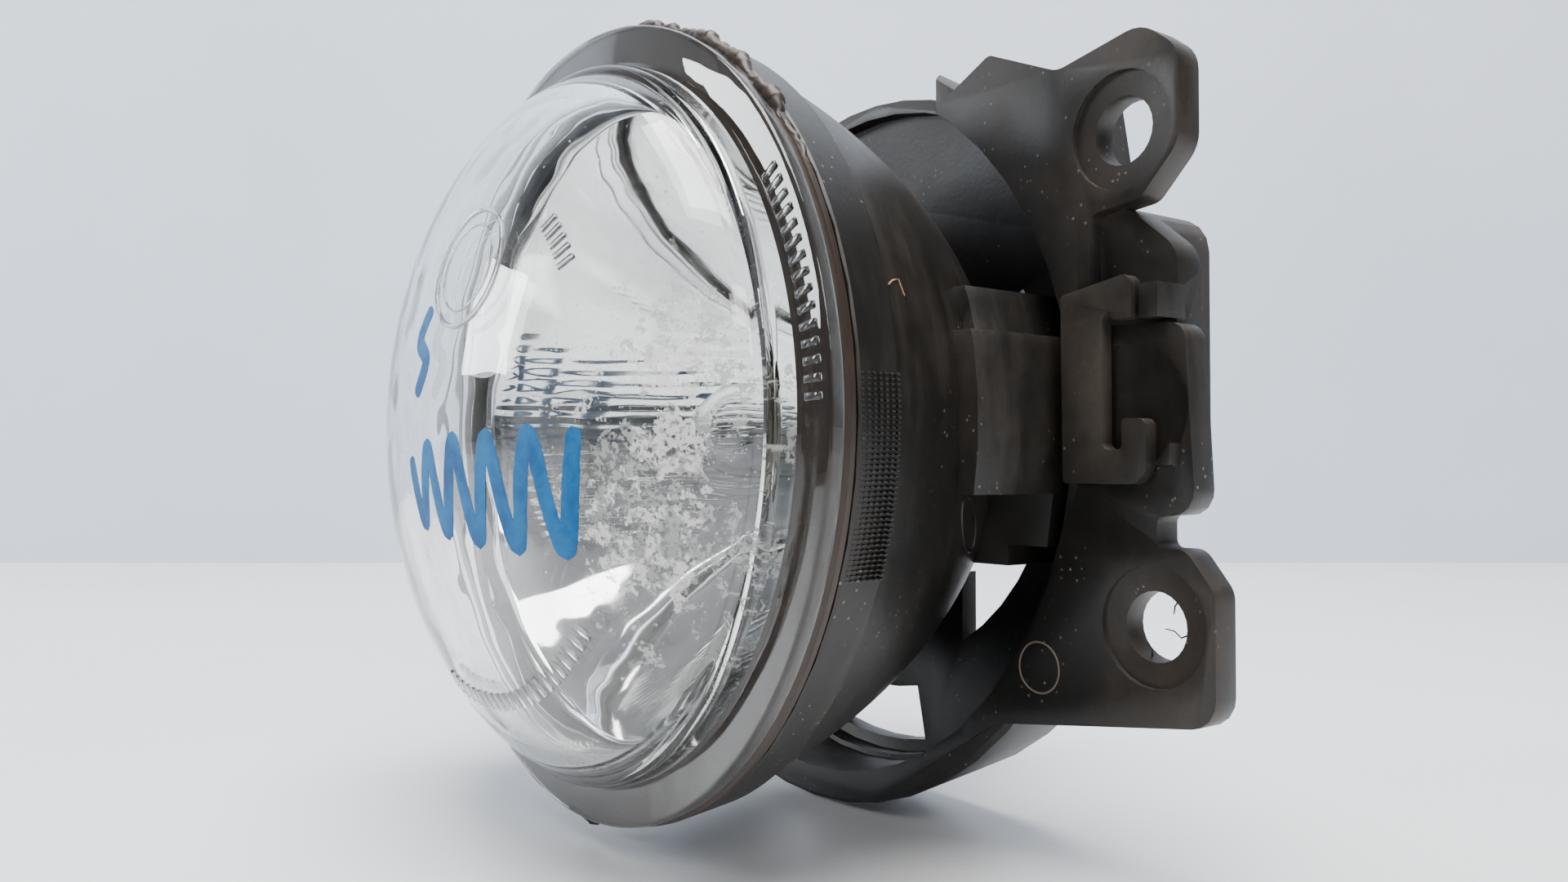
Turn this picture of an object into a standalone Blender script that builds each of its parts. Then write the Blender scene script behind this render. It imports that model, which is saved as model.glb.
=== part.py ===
"""Round front fog lamp: a glass-fronted pod that tilts in a three-eared plastic carrier.

The origin is where the lamp axis meets the plane that the carrier's ears seat on. The lens faces -Y,
+Z is up and the pair of ears is on +X. The pod tilts about two side pivots, an adjuster screw at the
upper left sets its angle, and a quarter-turn bulb with an elbow connector closes it at the back.
"""

import math

import bmesh
import bpy
from mathutils import Matrix, Vector

MM = 0.001

# General fits
SEAT_GAP = 0.3 * MM
RUNNING_GAP = 0.12 * MM
ROUND_STEPS = 48
SMALL_STEPS = 24
SADDLE_STEPS = 50

# Glass lens: a flat outer flange, a short upright step and a domed face
LENS_RADIUS = 45.0 * MM
SEAT_TO_LENS = 36.7 * MM
FLANGE_THICKNESS = 1.7 * MM
FLANGE_WIDTH = 4.6 * MM
STEP_HEIGHT = 3.0 * MM
SHOULDER_RADIUS = 1.2 * MM
DOME_HEIGHT = 18.8 * MM
DOME_FULLNESS = 1.5
GLASS_WALL = 2.8 * MM

# Sealant between the glass flange and the pod's rim
SEALANT_THICKNESS = 0.8 * MM
SEALANT_SQUEEZE = 0.3 * MM
TONGUE_WIDTH = 1.6 * MM
TONGUE_DEPTH = 3.0 * MM
TONGUE_INSET = 1.9 * MM

# Pod housing: a rim band, an elliptical bowl and a rear neck for the bulb
BAND_LENGTH = 7.1 * MM
BAND_TAPER = 0.7 * MM
BOWL_RADIUS = 45.3 * MM
BOWL_LENGTH = 61.4 * MM
BOWL_CENTRE = -45.0 * MM
POD_WALL = 2.2 * MM
RIM_BORE = 39.6 * MM
RIM_DEPTH = 4.0 * MM
NECK_RADIUS = 16.0 * MM
NECK_REAR = 20.0 * MM
NECK_LIP = 3.1 * MM

# Side pivots
PIVOT_Y = 3.5 * MM
PIN_RADIUS = 2.5 * MM
PIN_INNER_X = 33.5 * MM
PIN_OUTER_X = 48.8 * MM
BUSH_WALL = 1.2 * MM
BUSH_LENGTH = 3.2 * MM
BUSH_FLANGE = 1.0 * MM
BUSH_FLANGE_THICKNESS = 1.0 * MM
SADDLE_RADIUS = 42.6 * MM
SADDLE_LOW = -7.5 * MM
SADDLE_HIGH = 9.0 * MM
SADDLE_FRONT = -16.0 * MM
SADDLE_REAR = 8.0 * MM
SHELF_HIGH = 14.0 * MM
CHEEK_LOW = -15.5 * MM
CHEEK_STEP = -13.2 * MM

# Reflector
FOCAL_LENGTH = 10.0 * MM
VERTEX_Y = 4.5 * MM
REFLECTOR_INSET = 5.2 * MM
REFLECTOR_LIP = 1.0 * MM
REFLECTOR_WALL = 2.2 * MM
REFLECTOR_HOLE = 11.0 * MM

# Carrier: a deep ring with a rear flange, a front plate, ears and pivot boxes
OPENING_RADIUS = 43.8 * MM
RING_FRONT_RADIUS = 47.8 * MM
RING_REAR_RADIUS = 46.3 * MM
RING_FRONT = -3.0 * MM
RING_REAR = 11.8 * MM
FLANGE_FRONT = 9.3 * MM
FLANGE_BORE = 31.0 * MM
RELIEF_Y = 7.0 * MM
INNER_WALL_FRONT = 6.8 * MM
INNER_WALL_RADIUS = 43.1 * MM
RELIEF_Z = 16.0 * MM
RELIEF_X = 23.5 * MM
RELIEF_RADIUS = 44.8 * MM
PLATE_FRONT = -3.3 * MM
WINDOW_COUNT = 4
WINDOW_FIRST = -90.0
WINDOW_PITCH = -35.0
WINDOW_SPAN = 24.0
WINDOW_INNER = 34.5 * MM
WINDOW_OUTER = 41.5 * MM
WEB_INNER_X = -3.0 * MM
WEB_OUTER_X = 15.5 * MM
WEB_TOP_RADIUS = 23.8 * MM
UPPER_WEB_START = 33.3
UPPER_WEB_END = 84.2

# Ears: places of the three screw holes on the carrier
EAR_HOLE_RADIUS = 3.5 * MM
EAR_RECESS_RADIUS = 6.0 * MM
EAR_RECESS_DEPTH = 0.6 * MM
UPPER_EAR = (49.9 * MM, 29.1 * MM)
LOWER_EAR = (53.4 * MM, -20.3 * MM)
FAR_EAR = (-53.6 * MM, 16.5 * MM)

# Pivot boxes on the carrier
BOX_REAR = 10.0 * MM
BOX_FRONT = -1.5 * MM
BOX_OUTER_X = 51.2 * MM
BOX_LOW = -9.0 * MM
BOX_HIGH = 22.0 * MM
BOX_WALL = 1.8 * MM
BOX_FLOOR = 2.0 * MM
BOX_INNER_WALL_X = 45.8 * MM
FAR_BOX_OUTER_X = 51.6 * MM
FAR_BOX_HALF = 7.6 * MM
LOBE_REAR = 2.4 * MM
PAD_CENTRE = (51.0 * MM, 1.0 * MM)
PAD_RADIUS = 6.6 * MM

# Snap clips over the pivots
CLIP_THICKNESS = 1.7 * MM
CLIP_ARM = 3.4 * MM
CLIP_LOW = -6.4 * MM
CLIP_HIGH = 14.0 * MM
CLIP_SPINE_X = 44.1 * MM
CLIP_SPINE_WIDTH = 4.9 * MM
CLIP_REACH = 54.2 * MM
LEG_WIDTH = 2.2 * MM
LEG_HEIGHT = 3.0 * MM
LEG_DEPTH = 2.6 * MM
LEG_X = 45.9 * MM

# Adjuster
ADJUSTER_X = -24.0 * MM
ADJUSTER_Z = 28.0 * MM
SCREW_RADIUS = 2.4 * MM
SCREW_TIP_Y = -2.5 * MM
SCREW_HEAD_RADIUS = 4.2 * MM
SCREW_HEAD_LENGTH = 3.5 * MM
BOSS_RADIUS = 5.0 * MM
BOSS_REAR = 14.7 * MM
GROOVE_DEPTH = 0.5 * MM
GROOVE_WIDTH = 1.1 * MM
CLIP_RING_RADIUS = 4.0 * MM
NUT_RADIUS = 3.4 * MM
NUT_FLANGE_RADIUS = 4.6 * MM
NUT_FLANGE_THICKNESS = 0.9 * MM
THREAD_GAP = 0.5 * MM
LUG_RADIUS = 4.9 * MM
LUG_FRONT = -1.5 * MM
LUG_REAR = 4.5 * MM
LUG_WIDTH = 6.0 * MM

# Vent on the back of the bowl
VENT_X = -18.0 * MM
VENT_Z = -16.0 * MM
SPIGOT_RADIUS = 3.0 * MM
SPIGOT_BORE = 1.6 * MM
SPIGOT_REAR = 15.6 * MM
VENT_CAP_WALL = 1.8 * MM
VENT_CAP_FRONT = 11.2 * MM
VENT_CAP_END = 1.2 * MM
FILTER_THICKNESS = 0.7 * MM

# Bulb: glass, filament, collar with three tabs, seal and elbow connector
BULB_RADIUS = 6.0 * MM
BULB_WALL = 1.0 * MM
BULB_TIP_Y = -20.0 * MM
BULB_ROOT_Y = 9.0 * MM
FILAMENT_RADIUS = 0.65 * MM
FILAMENT_LENGTH = 4.6 * MM
LEAD_RADIUS = 0.35 * MM
LEAD_OFFSET = 3.2 * MM
COLLAR_FRONT = 5.0 * MM
COLLAR_STEP = 1.5 * MM
COLLAR_RADIUS = 10.1 * MM
COLLAR_SHOULDER_Y = 12.0 * MM
COLLAR_FLANGE_RADIUS = 14.5 * MM
COLLAR_FLANGE_THICKNESS = 1.8 * MM
NECK_BORE_GAP = 0.5 * MM
TAB_COUNT = 3
TAB_REACH = 2.6 * MM
TAB_WIDTH = 5.0 * MM
TAB_THICKNESS = 2.8 * MM
TWIST_ANGLE = 45.0
O_RING_SECTION = 0.9 * MM
BASE_HALF_WIDTH = 9.5 * MM
BASE_DEPTH = 12.0 * MM
BASE_LOW = -9.0 * MM
BASE_TOP = 26.0 * MM
BASE_CORNER = 2.5 * MM
SOCKET_WALL = 2.0 * MM
SOCKET_FLOOR = 9.0 * MM
TERMINAL_WIDTH = 2.8 * MM
TERMINAL_THICKNESS = 0.8 * MM
TERMINAL_HEIGHT = 11.0 * MM
TERMINAL_SPACING = 7.0 * MM
KEY_WIDTH = 3.0 * MM
KEY_HEIGHT = 1.6 * MM
KEY_LENGTH = 10.0 * MM

# Sizes that follow from the ones above
LENS_FRONT = -SEAT_TO_LENS
LENS_REAR = LENS_FRONT + FLANGE_THICKNESS
REFLECTOR_FRONT = LENS_FRONT + REFLECTOR_INSET
SEALANT_FRONT = LENS_REAR + SEAT_GAP
SEALANT_REAR = SEALANT_FRONT + SEALANT_THICKNESS
RIM_FRONT = SEALANT_REAR + SEAT_GAP
TAB_RADIUS = COLLAR_RADIUS + TAB_REACH
CHAMBER_RADIUS = TAB_RADIUS + NECK_BORE_GAP
COLLAR_SLEEVE_RADIUS = COLLAR_RADIUS - COLLAR_STEP
COLLAR_FLANGE_FRONT = NECK_REAR + 2 * (SEAT_GAP + O_RING_SECTION)
COLLAR_REAR = COLLAR_FLANGE_FRONT + COLLAR_FLANGE_THICKNESS
BASE_FRONT = COLLAR_REAR + SEAT_GAP
FILAMENT_Y = VERTEX_Y - FOCAL_LENGTH
BUSH_RADIUS = PIN_RADIUS + RUNNING_GAP + BUSH_WALL
CLIP_FRONT = PLATE_FRONT - SEAT_GAP - CLIP_THICKNESS

ROUND_ABOUT_Y = Matrix.Rotation(-math.pi / 2, 4, "X")
ROUND_ABOUT_X = Matrix.Rotation(math.pi / 2, 4, "Y")
UPRIGHT_OUTLINE = Matrix.Rotation(math.pi / 2, 4, "X")


def clear_scene():
    """Remove the objects that a new file holds."""
    for item in list(bpy.data.objects):
        bpy.data.objects.remove(item, do_unlink=True)


def new_collection(name):
    """Return a collection linked to the scene."""
    collection = bpy.data.collections.new(name)
    bpy.context.scene.collection.children.link(collection)
    return collection


def add_object(name, mesh, collection):
    """Link a mesh to a collection as a named object."""
    item = bpy.data.objects.new(name, mesh)
    collection.objects.link(item)
    return item


def add_tool(name, mesh):
    """Link a mesh to the cutters, where it is drawn as a wire and not rendered."""
    item = add_object(name, mesh, cutters)
    item.display_type = "WIRE"
    item.hide_render = True
    return item


def mesh_from(bm, name):
    """Weld a bmesh, turn its faces outward and return it as a mesh."""
    bmesh.ops.remove_doubles(bm, verts=bm.verts, dist=0.002 * MM)
    bmesh.ops.recalc_face_normals(bm, faces=bm.faces)
    mesh = bpy.data.meshes.new(name)
    bm.to_mesh(mesh)
    bm.free()
    return mesh


def evaluated_mesh(item, name, placing):
    """Return the object's evaluated shape as a welded mesh, moved by a matrix, and remove the object."""
    bpy.context.view_layer.update()
    shape = bpy.data.meshes.new_from_object(item.evaluated_get(bpy.context.evaluated_depsgraph_get()))
    shape.transform(placing)
    bm = bmesh.new()
    bm.from_mesh(shape)
    bpy.data.meshes.remove(shape)
    bpy.data.objects.remove(item, do_unlink=True)
    return mesh_from(bm, name)


def turned(name, profile, steps, placing, loop=False):
    """Turn a profile of (radius, height) points about its axis; a loop profile doesn't reach the axis."""
    points = [(radius, 0.0, height) for radius, height in profile]
    edges = [(index, index + 1) for index in range(len(points) - 1)]
    if loop:
        edges.append((len(points) - 1, 0))
    line = bpy.data.meshes.new(name + "_profile")
    line.from_pydata(points, edges, [])
    item = add_object(name + "_profile", line, cutters)
    screw = item.modifiers.new("turn", "SCREW")
    screw.axis = "Z"
    screw.steps = steps
    screw.render_steps = steps
    screw.use_merge_vertices = True
    screw.merge_threshold = 0.00001
    return evaluated_mesh(item, name, placing)


def plate(name, outline, low_y, high_y):
    """Extrude an outline of (x, z) points from one y to another."""
    curve = bpy.data.curves.new(name + "_outline", "CURVE")
    curve.dimensions = "2D"
    curve.fill_mode = "BOTH"
    curve.extrude = (high_y - low_y) / 2
    spline = curve.splines.new("POLY")
    spline.points.add(len(outline) - 1)
    for point, (x, z) in zip(spline.points, outline):
        point.co = (x, z, 0.0, 1.0)
    spline.use_cyclic_u = True
    item = bpy.data.objects.new(name + "_outline", curve)
    cutters.objects.link(item)
    placing = Matrix.Translation((0.0, (low_y + high_y) / 2, 0.0)) @ UPRIGHT_OUTLINE
    return evaluated_mesh(item, name, placing)


def wire(name, points, radius):
    """Draw a round wire through points in space, with closed ends."""
    curve = bpy.data.curves.new(name + "_path", "CURVE")
    curve.dimensions = "3D"
    curve.bevel_depth = radius
    curve.bevel_resolution = 2
    curve.use_fill_caps = True
    spline = curve.splines.new("POLY")
    spline.points.add(len(points) - 1)
    for point, place in zip(spline.points, points):
        point.co = (*place, 1.0)
    item = bpy.data.objects.new(name + "_path", curve)
    cutters.objects.link(item)
    return evaluated_mesh(item, name, Matrix.Identity(4))


def block(name, low, high, corner=0.0, corner_axis=None, segments=3):
    """Return a box between two corners, its edges along one axis (or all of them) rounded."""
    bm = bmesh.new()
    bmesh.ops.create_cube(bm, size=1.0)
    size = Vector(high) - Vector(low)
    centre = (Vector(high) + Vector(low)) / 2
    bmesh.ops.scale(bm, vec=size, verts=bm.verts)
    if corner > 0:
        edges = [edge for edge in bm.edges if corner_axis is None or runs_along(edge, corner_axis)]
        bmesh.ops.bevel(bm, geom=edges, offset=corner, segments=segments, profile=0.5, affect="EDGES")
    bmesh.ops.translate(bm, vec=centre, verts=bm.verts)
    return mesh_from(bm, name)


def runs_along(edge, axis):
    """Say whether an edge lies along the axis with this index."""
    run = (edge.verts[1].co - edge.verts[0].co).normalized()
    return abs(run[axis]) > 0.99


def cylinder(name, centre, radius, length, axis="Y", steps=SMALL_STEPS):
    """Return a cylinder about a point, along one axis."""
    bm = bmesh.new()
    bmesh.ops.create_cone(
        bm, cap_ends=True, segments=steps, radius1=radius, radius2=radius, depth=length
    )
    turn = {"X": ROUND_ABOUT_X, "Y": ROUND_ABOUT_Y, "Z": Matrix.Identity(4)}[axis]
    bmesh.ops.transform(bm, matrix=Matrix.Translation(centre) @ turn, verts=bm.verts)
    return mesh_from(bm, name)


def combine(item, operation, mesh):
    """Join, cut or trim an object with a mesh, which is kept as a hidden tool."""
    tool = add_tool(mesh.name, mesh)
    modifier = item.modifiers.new(mesh.name, "BOOLEAN")
    modifier.operation = operation
    modifier.solver = "EXACT"
    modifier.object = tool
    return tool


def join(item, mesh):
    """Add a mesh to an object."""
    return combine(item, "UNION", mesh)


def cut(item, mesh):
    """Take a mesh out of an object."""
    return combine(item, "DIFFERENCE", mesh)


def trim(item, mesh):
    """Keep only what lies inside a mesh."""
    return combine(item, "INTERSECT", mesh)


def arc(centre, radius, start, end, count):
    """Return points on a circle from one angle to another, in degrees."""
    turns = [math.radians(start + (end - start) * index / count) for index in range(count + 1)]
    return [(centre[0] + radius * math.cos(turn), centre[1] + radius * math.sin(turn)) for turn in turns]


def rounded(corners, segments=4):
    """Return an outline through (x, z, radius) corners, each with its own radius."""
    outline = []
    total = len(corners)
    for index, (x, z, radius) in enumerate(corners):
        here = Vector((x, z))
        before = (Vector(corners[index - 1][:2]) - here).normalized()
        after = (Vector(corners[(index + 1) % total][:2]) - here).normalized()
        if radius <= 0:
            outline.append((x, z))
            continue
        half = before.angle(after) / 2
        reach = radius / math.tan(half)
        start = here + before * reach
        end = here + after * reach
        centre = here + (before + after).normalized() * (radius / math.sin(half))
        for step in range(segments + 1):
            spot = start.lerp(end, step / segments) - centre
            outline.append(tuple(centre + spot.normalized() * radius))
    return outline


def finish(item, colour, roughness, metallic=0.0, alpha=1.0):
    """Give an object its own material and shade its round faces smooth."""
    material = bpy.data.materials.new(item.name + "_material")
    material.use_nodes = True
    shader = material.node_tree.nodes["Principled BSDF"]
    shader.inputs["Base Color"].default_value = (*colour, 1.0)
    shader.inputs["Roughness"].default_value = roughness
    shader.inputs["Metallic"].default_value = metallic
    shader.inputs["Alpha"].default_value = alpha
    material.diffuse_color = (*colour, alpha)
    item.data.materials.clear()
    item.data.materials.append(material)
    item.data.shade_smooth()
    item.data.set_sharp_from_angle(angle=math.radians(35))


def hang(item, axis_empty):
    """Parent an object to the empty on its joint's axis, leaving it where it is."""
    item.parent = axis_empty
    item.matrix_parent_inverse = axis_empty.matrix_world.inverted()


def axis_empty(name, place):
    """Return an empty that marks a joint's axis."""
    empty = bpy.data.objects.new(name, None)
    empty.location = place
    empty.empty_display_size = 10 * MM
    lamp.objects.link(empty)
    bpy.context.view_layer.update()
    return empty


def bowl_radius_at(y, wall=0.0):
    """Return the bowl's radius at a depth, inside its wall if one is given."""
    share = (y - BOWL_CENTRE) / (BOWL_LENGTH - wall)
    return (BOWL_RADIUS - wall) * math.sqrt(max(0.0, 1.0 - share * share))


def bowl_depth_at(radius, wall=0.0):
    """Return the depth at which the bowl has a radius."""
    share = radius / (BOWL_RADIUS - wall)
    return BOWL_CENTRE + (BOWL_LENGTH - wall) * math.sqrt(1.0 - share * share)


def bowl_curve(rear_y, front_y, wall, count):
    """Return the bowl's profile from the rear to the front, closer spaced where it bends most."""
    points = []
    for index in range(count + 1):
        share = math.sin(index / count * math.pi / 2)
        y = rear_y + (front_y - rear_y) * (1.0 - math.cos(math.asin(share)))
        points.append((bowl_radius_at(y, wall), y))
    return points


def dome_profile(edge_radius, edge_y, rise, count):
    """Return (radius, y) points of a dome from its edge to its crown, fuller at the shoulder than a cap."""
    points = []
    for index in range(count + 1):
        share = math.sin((1.0 - index / count) * math.pi / 2)
        height = rise * (1.0 - share * share) ** (1.0 / DOME_FULLNESS)
        points.append((edge_radius * share, edge_y - height))
    return points


def make_lens():
    """Clear glass lens with its flange, step and dome."""
    edge_radius = LENS_RADIUS - FLANGE_WIDTH - SHOULDER_RADIUS
    edge_y = LENS_FRONT - STEP_HEIGHT
    rise = DOME_HEIGHT - STEP_HEIGHT
    inner_edge = edge_radius - GLASS_WALL
    inner = dome_profile(inner_edge, edge_y + GLASS_WALL / 2, rise - GLASS_WALL / 2, 5)
    outer = dome_profile(edge_radius, edge_y, rise, 8)
    step_radius = LENS_RADIUS - FLANGE_WIDTH
    shoulder_y = edge_y + SHOULDER_RADIUS
    chamfer = 0.3 * MM
    flange = [
        (inner_edge + chamfer, LENS_REAR),
        (LENS_RADIUS - chamfer, LENS_REAR),
        (LENS_RADIUS, LENS_REAR - chamfer),
        (LENS_RADIUS, LENS_FRONT + chamfer),
        (LENS_RADIUS - chamfer, LENS_FRONT),
        (step_radius, LENS_FRONT),
        (step_radius, shoulder_y),
        (edge_radius + SHOULDER_RADIUS * 0.7, edge_y + SHOULDER_RADIUS * 0.3),
    ]
    profile = inner[::-1] + flange + outer
    lens = add_object("lens", turned("lens", profile, ROUND_STEPS, ROUND_ABOUT_Y), lamp)
    finish(lens, (0.86, 0.90, 0.91), 0.03, alpha=0.25)
    return lens


def make_sealant():
    """Brown sealant bead with a tongue that fills the rim's groove."""
    tongue_outer = LENS_RADIUS - TONGUE_INSET
    tongue_inner = tongue_outer - TONGUE_WIDTH
    profile = [
        (tongue_outer, SEALANT_REAR + TONGUE_DEPTH),
        (tongue_outer, SEALANT_REAR),
        (LENS_RADIUS + SEALANT_SQUEEZE, SEALANT_REAR),
        (LENS_RADIUS + SEALANT_SQUEEZE, SEALANT_FRONT),
        (RIM_BORE + SEALANT_THICKNESS, SEALANT_FRONT),
        (RIM_BORE + SEALANT_THICKNESS, SEALANT_REAR),
        (tongue_inner, SEALANT_REAR),
        (tongue_inner, SEALANT_REAR + TONGUE_DEPTH),
    ]
    sealant = add_object(
        "lens_sealant", turned("lens_sealant", profile, ROUND_STEPS, ROUND_ABOUT_Y, loop=True), lamp
    )
    finish(sealant, (0.16, 0.11, 0.08), 0.75)
    return sealant


def pod_blank():
    """Return the pod's outer form as one solid, without its hollow."""
    band_rear = LENS_REAR + BAND_LENGTH
    profile = [(0.0, NECK_REAR), (NECK_RADIUS, NECK_REAR)]
    profile += bowl_curve(bowl_depth_at(NECK_RADIUS), band_rear + SEAT_GAP, 0.0, 10)
    profile += [
        (LENS_RADIUS - BAND_TAPER, band_rear),
        (LENS_RADIUS, RIM_FRONT),
        (0.0, RIM_FRONT),
    ]
    return turned("housing", profile, ROUND_STEPS, ROUND_ABOUT_Y)


def pod_hollow():
    """Return the pod's inside, from the rim's mouth to the neck's lip."""
    rim_rear = RIM_FRONT + RIM_DEPTH
    lip_bore = COLLAR_RADIUS + NECK_BORE_GAP
    profile = [
        (0.0, NECK_REAR + BASE_DEPTH),
        (lip_bore, NECK_REAR + BASE_DEPTH),
        (lip_bore, NECK_REAR - NECK_LIP),
        (CHAMBER_RADIUS, NECK_REAR - NECK_LIP),
    ]
    profile += bowl_curve(bowl_depth_at(CHAMBER_RADIUS, POD_WALL), rim_rear + POD_WALL, POD_WALL, 7)
    profile += [
        (RIM_BORE, rim_rear),
        (RIM_BORE, LENS_FRONT - STEP_HEIGHT),
        (0.0, LENS_FRONT - STEP_HEIGHT),
    ]
    return turned("pod_hollow", profile, ROUND_STEPS, ROUND_ABOUT_Y)


def sealant_groove():
    """Return the ring groove that the sealant's tongue sits in."""
    outer = LENS_RADIUS - TONGUE_INSET + SEAT_GAP
    inner = LENS_RADIUS - TONGUE_INSET - TONGUE_WIDTH - SEAT_GAP
    rear = SEALANT_REAR + TONGUE_DEPTH + SEAT_GAP
    profile = [(outer, rear), (outer, LENS_FRONT), (inner, LENS_FRONT), (inner, rear)]
    return turned("sealant_groove", profile, ROUND_STEPS, ROUND_ABOUT_Y, loop=True)


def make_housing():
    """Dark pod housing: rim, bowl, side saddles, nut lug, vent spigot and bulb neck."""
    housing = add_object("housing", pod_blank(), lamp)
    saddle = join(
        housing,
        block(
            "saddles",
            (-LENS_RADIUS, SADDLE_FRONT, SADDLE_LOW),
            (LENS_RADIUS, SADDLE_REAR, SADDLE_HIGH),
            corner=2.0 * MM,
            corner_axis=1,
        ),
    )
    trim(
        saddle,
        cylinder("saddle_round", (0, 0, 0), SADDLE_RADIUS, 2 * SEAT_TO_LENS, steps=SADDLE_STEPS),
    )
    shelf = join(
        housing,
        block(
            "saddle_shelf",
            (-LENS_RADIUS, SADDLE_FRONT + 3.0 * MM, SADDLE_LOW + 2.0 * MM),
            (LENS_RADIUS, SADDLE_REAR - 4.0 * MM, SHELF_HIGH),
            corner=3.0 * MM,
            corner_axis=1,
        ),
    )
    trim(
        shelf,
        cylinder("shelf_round", (0, 0, 0), SADDLE_RADIUS - 2.2 * MM, 2 * SEAT_TO_LENS, steps=SADDLE_STEPS),
    )
    cheek_outline = [
        (PIN_INNER_X - 10 * MM, SADDLE_LOW + 1 * MM),
        (SADDLE_RADIUS - 1.6 * MM, SADDLE_LOW + 1 * MM),
        (SADDLE_RADIUS - 2.6 * MM, CHEEK_STEP),
        (SADDLE_RADIUS - 8.1 * MM, CHEEK_STEP),
        (SADDLE_RADIUS - 8.1 * MM, CHEEK_LOW),
        (PIN_INNER_X - 10 * MM, CHEEK_LOW),
    ]
    join(housing, plate("cheek", cheek_outline, PLATE_FRONT + 0.3 * MM, SADDLE_REAR - 3 * MM))
    lug_length = LUG_REAR - LUG_FRONT
    lug_y = (LUG_REAR + LUG_FRONT) / 2
    adjuster_turn = math.atan2(ADJUSTER_Z, ADJUSTER_X)
    adjuster_reach = math.hypot(ADJUSTER_X, ADJUSTER_Z)
    web = block(
        "lug_web",
        (NECK_RADIUS, LUG_FRONT + 0.2 * MM, -LUG_WIDTH / 2),
        (adjuster_reach, LUG_REAR - 0.2 * MM, LUG_WIDTH / 2),
    )
    web.transform(Matrix.Rotation(-adjuster_turn, 4, "Y"))
    join(housing, web)
    join(housing, cylinder("lug_eye", (ADJUSTER_X, lug_y, ADJUSTER_Z), LUG_RADIUS, lug_length))
    spigot_front = bowl_depth_at(math.hypot(VENT_X, VENT_Z)) - POD_WALL
    spigot_y = (SPIGOT_REAR + spigot_front) / 2
    join(
        housing,
        cylinder("spigot", (VENT_X, spigot_y, VENT_Z), SPIGOT_RADIUS, SPIGOT_REAR - spigot_front),
    )
    cut(housing, pod_hollow())
    cut(housing, sealant_groove())
    cut(
        housing,
        cylinder("vent_bore", (VENT_X, spigot_y, VENT_Z), SPIGOT_BORE, 2 * NECK_REAR, steps=16),
    )
    cut(
        housing,
        cylinder(
            "lug_bore", (ADJUSTER_X, lug_y, ADJUSTER_Z), NUT_RADIUS + SEAT_GAP, 2 * lug_length
        ),
    )
    for side, sign in (("right", 1), ("left", -1)):
        hole_end = LENS_RADIUS + BOX_WALL
        hole_start = PIN_INNER_X - SEAT_GAP
        cut(
            housing,
            cylinder(
                "pin_hole_" + side,
                (sign * (hole_start + hole_end) / 2, PIVOT_Y, 0),
                PIN_RADIUS + SEAT_GAP,
                hole_end - hole_start,
                axis="X",
            ),
        )
    for index in range(TAB_COUNT):
        notch = block(
            "notch_" + str(index),
            (COLLAR_RADIUS - 1 * MM, NECK_REAR - NECK_LIP - 1 * MM, -TAB_WIDTH / 2 - NECK_BORE_GAP),
            (TAB_RADIUS + NECK_BORE_GAP - 0.2 * MM, NECK_REAR + 1 * MM, TAB_WIDTH / 2 + NECK_BORE_GAP),
        )
        notch.transform(Matrix.Rotation(tab_turn(index) + math.radians(TWIST_ANGLE), 4, "Y"))
        cut(housing, notch)
    finish(housing, (0.045, 0.040, 0.037), 0.6)
    return housing


def tab_turn(index):
    """Return the angle of a bayonet tab about the lamp axis."""
    return math.radians(90 + 360 * index / TAB_COUNT)


def make_reflector():
    """Parabolic reflector with a hole for the bulb and a front lip."""
    count = 5
    front_radius = math.sqrt(4 * FOCAL_LENGTH * (VERTEX_Y - REFLECTOR_FRONT))
    outer_vertex = VERTEX_Y + REFLECTOR_WALL
    inner = []
    outer = []
    for index in range(count + 1):
        radius = REFLECTOR_HOLE + (front_radius - REFLECTOR_HOLE) * index / count
        inner.append((radius, VERTEX_Y - radius**2 / (4 * FOCAL_LENGTH)))
        outer.append((radius, outer_vertex - radius**2 / (4 * FOCAL_LENGTH)))
    lip_radius = math.sqrt(4 * FOCAL_LENGTH * (outer_vertex - REFLECTOR_FRONT))
    lip = [
        (lip_radius, REFLECTOR_FRONT),
        (lip_radius, REFLECTOR_FRONT - REFLECTOR_LIP),
        (front_radius, REFLECTOR_FRONT - REFLECTOR_LIP),
    ]
    profile = outer + lip + inner[::-1]
    reflector = add_object(
        "reflector", turned("reflector", profile, ROUND_STEPS, ROUND_ABOUT_Y, loop=True), lamp
    )
    finish(reflector, (0.85, 0.86, 0.87), 0.06, metallic=1.0)
    return reflector


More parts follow.
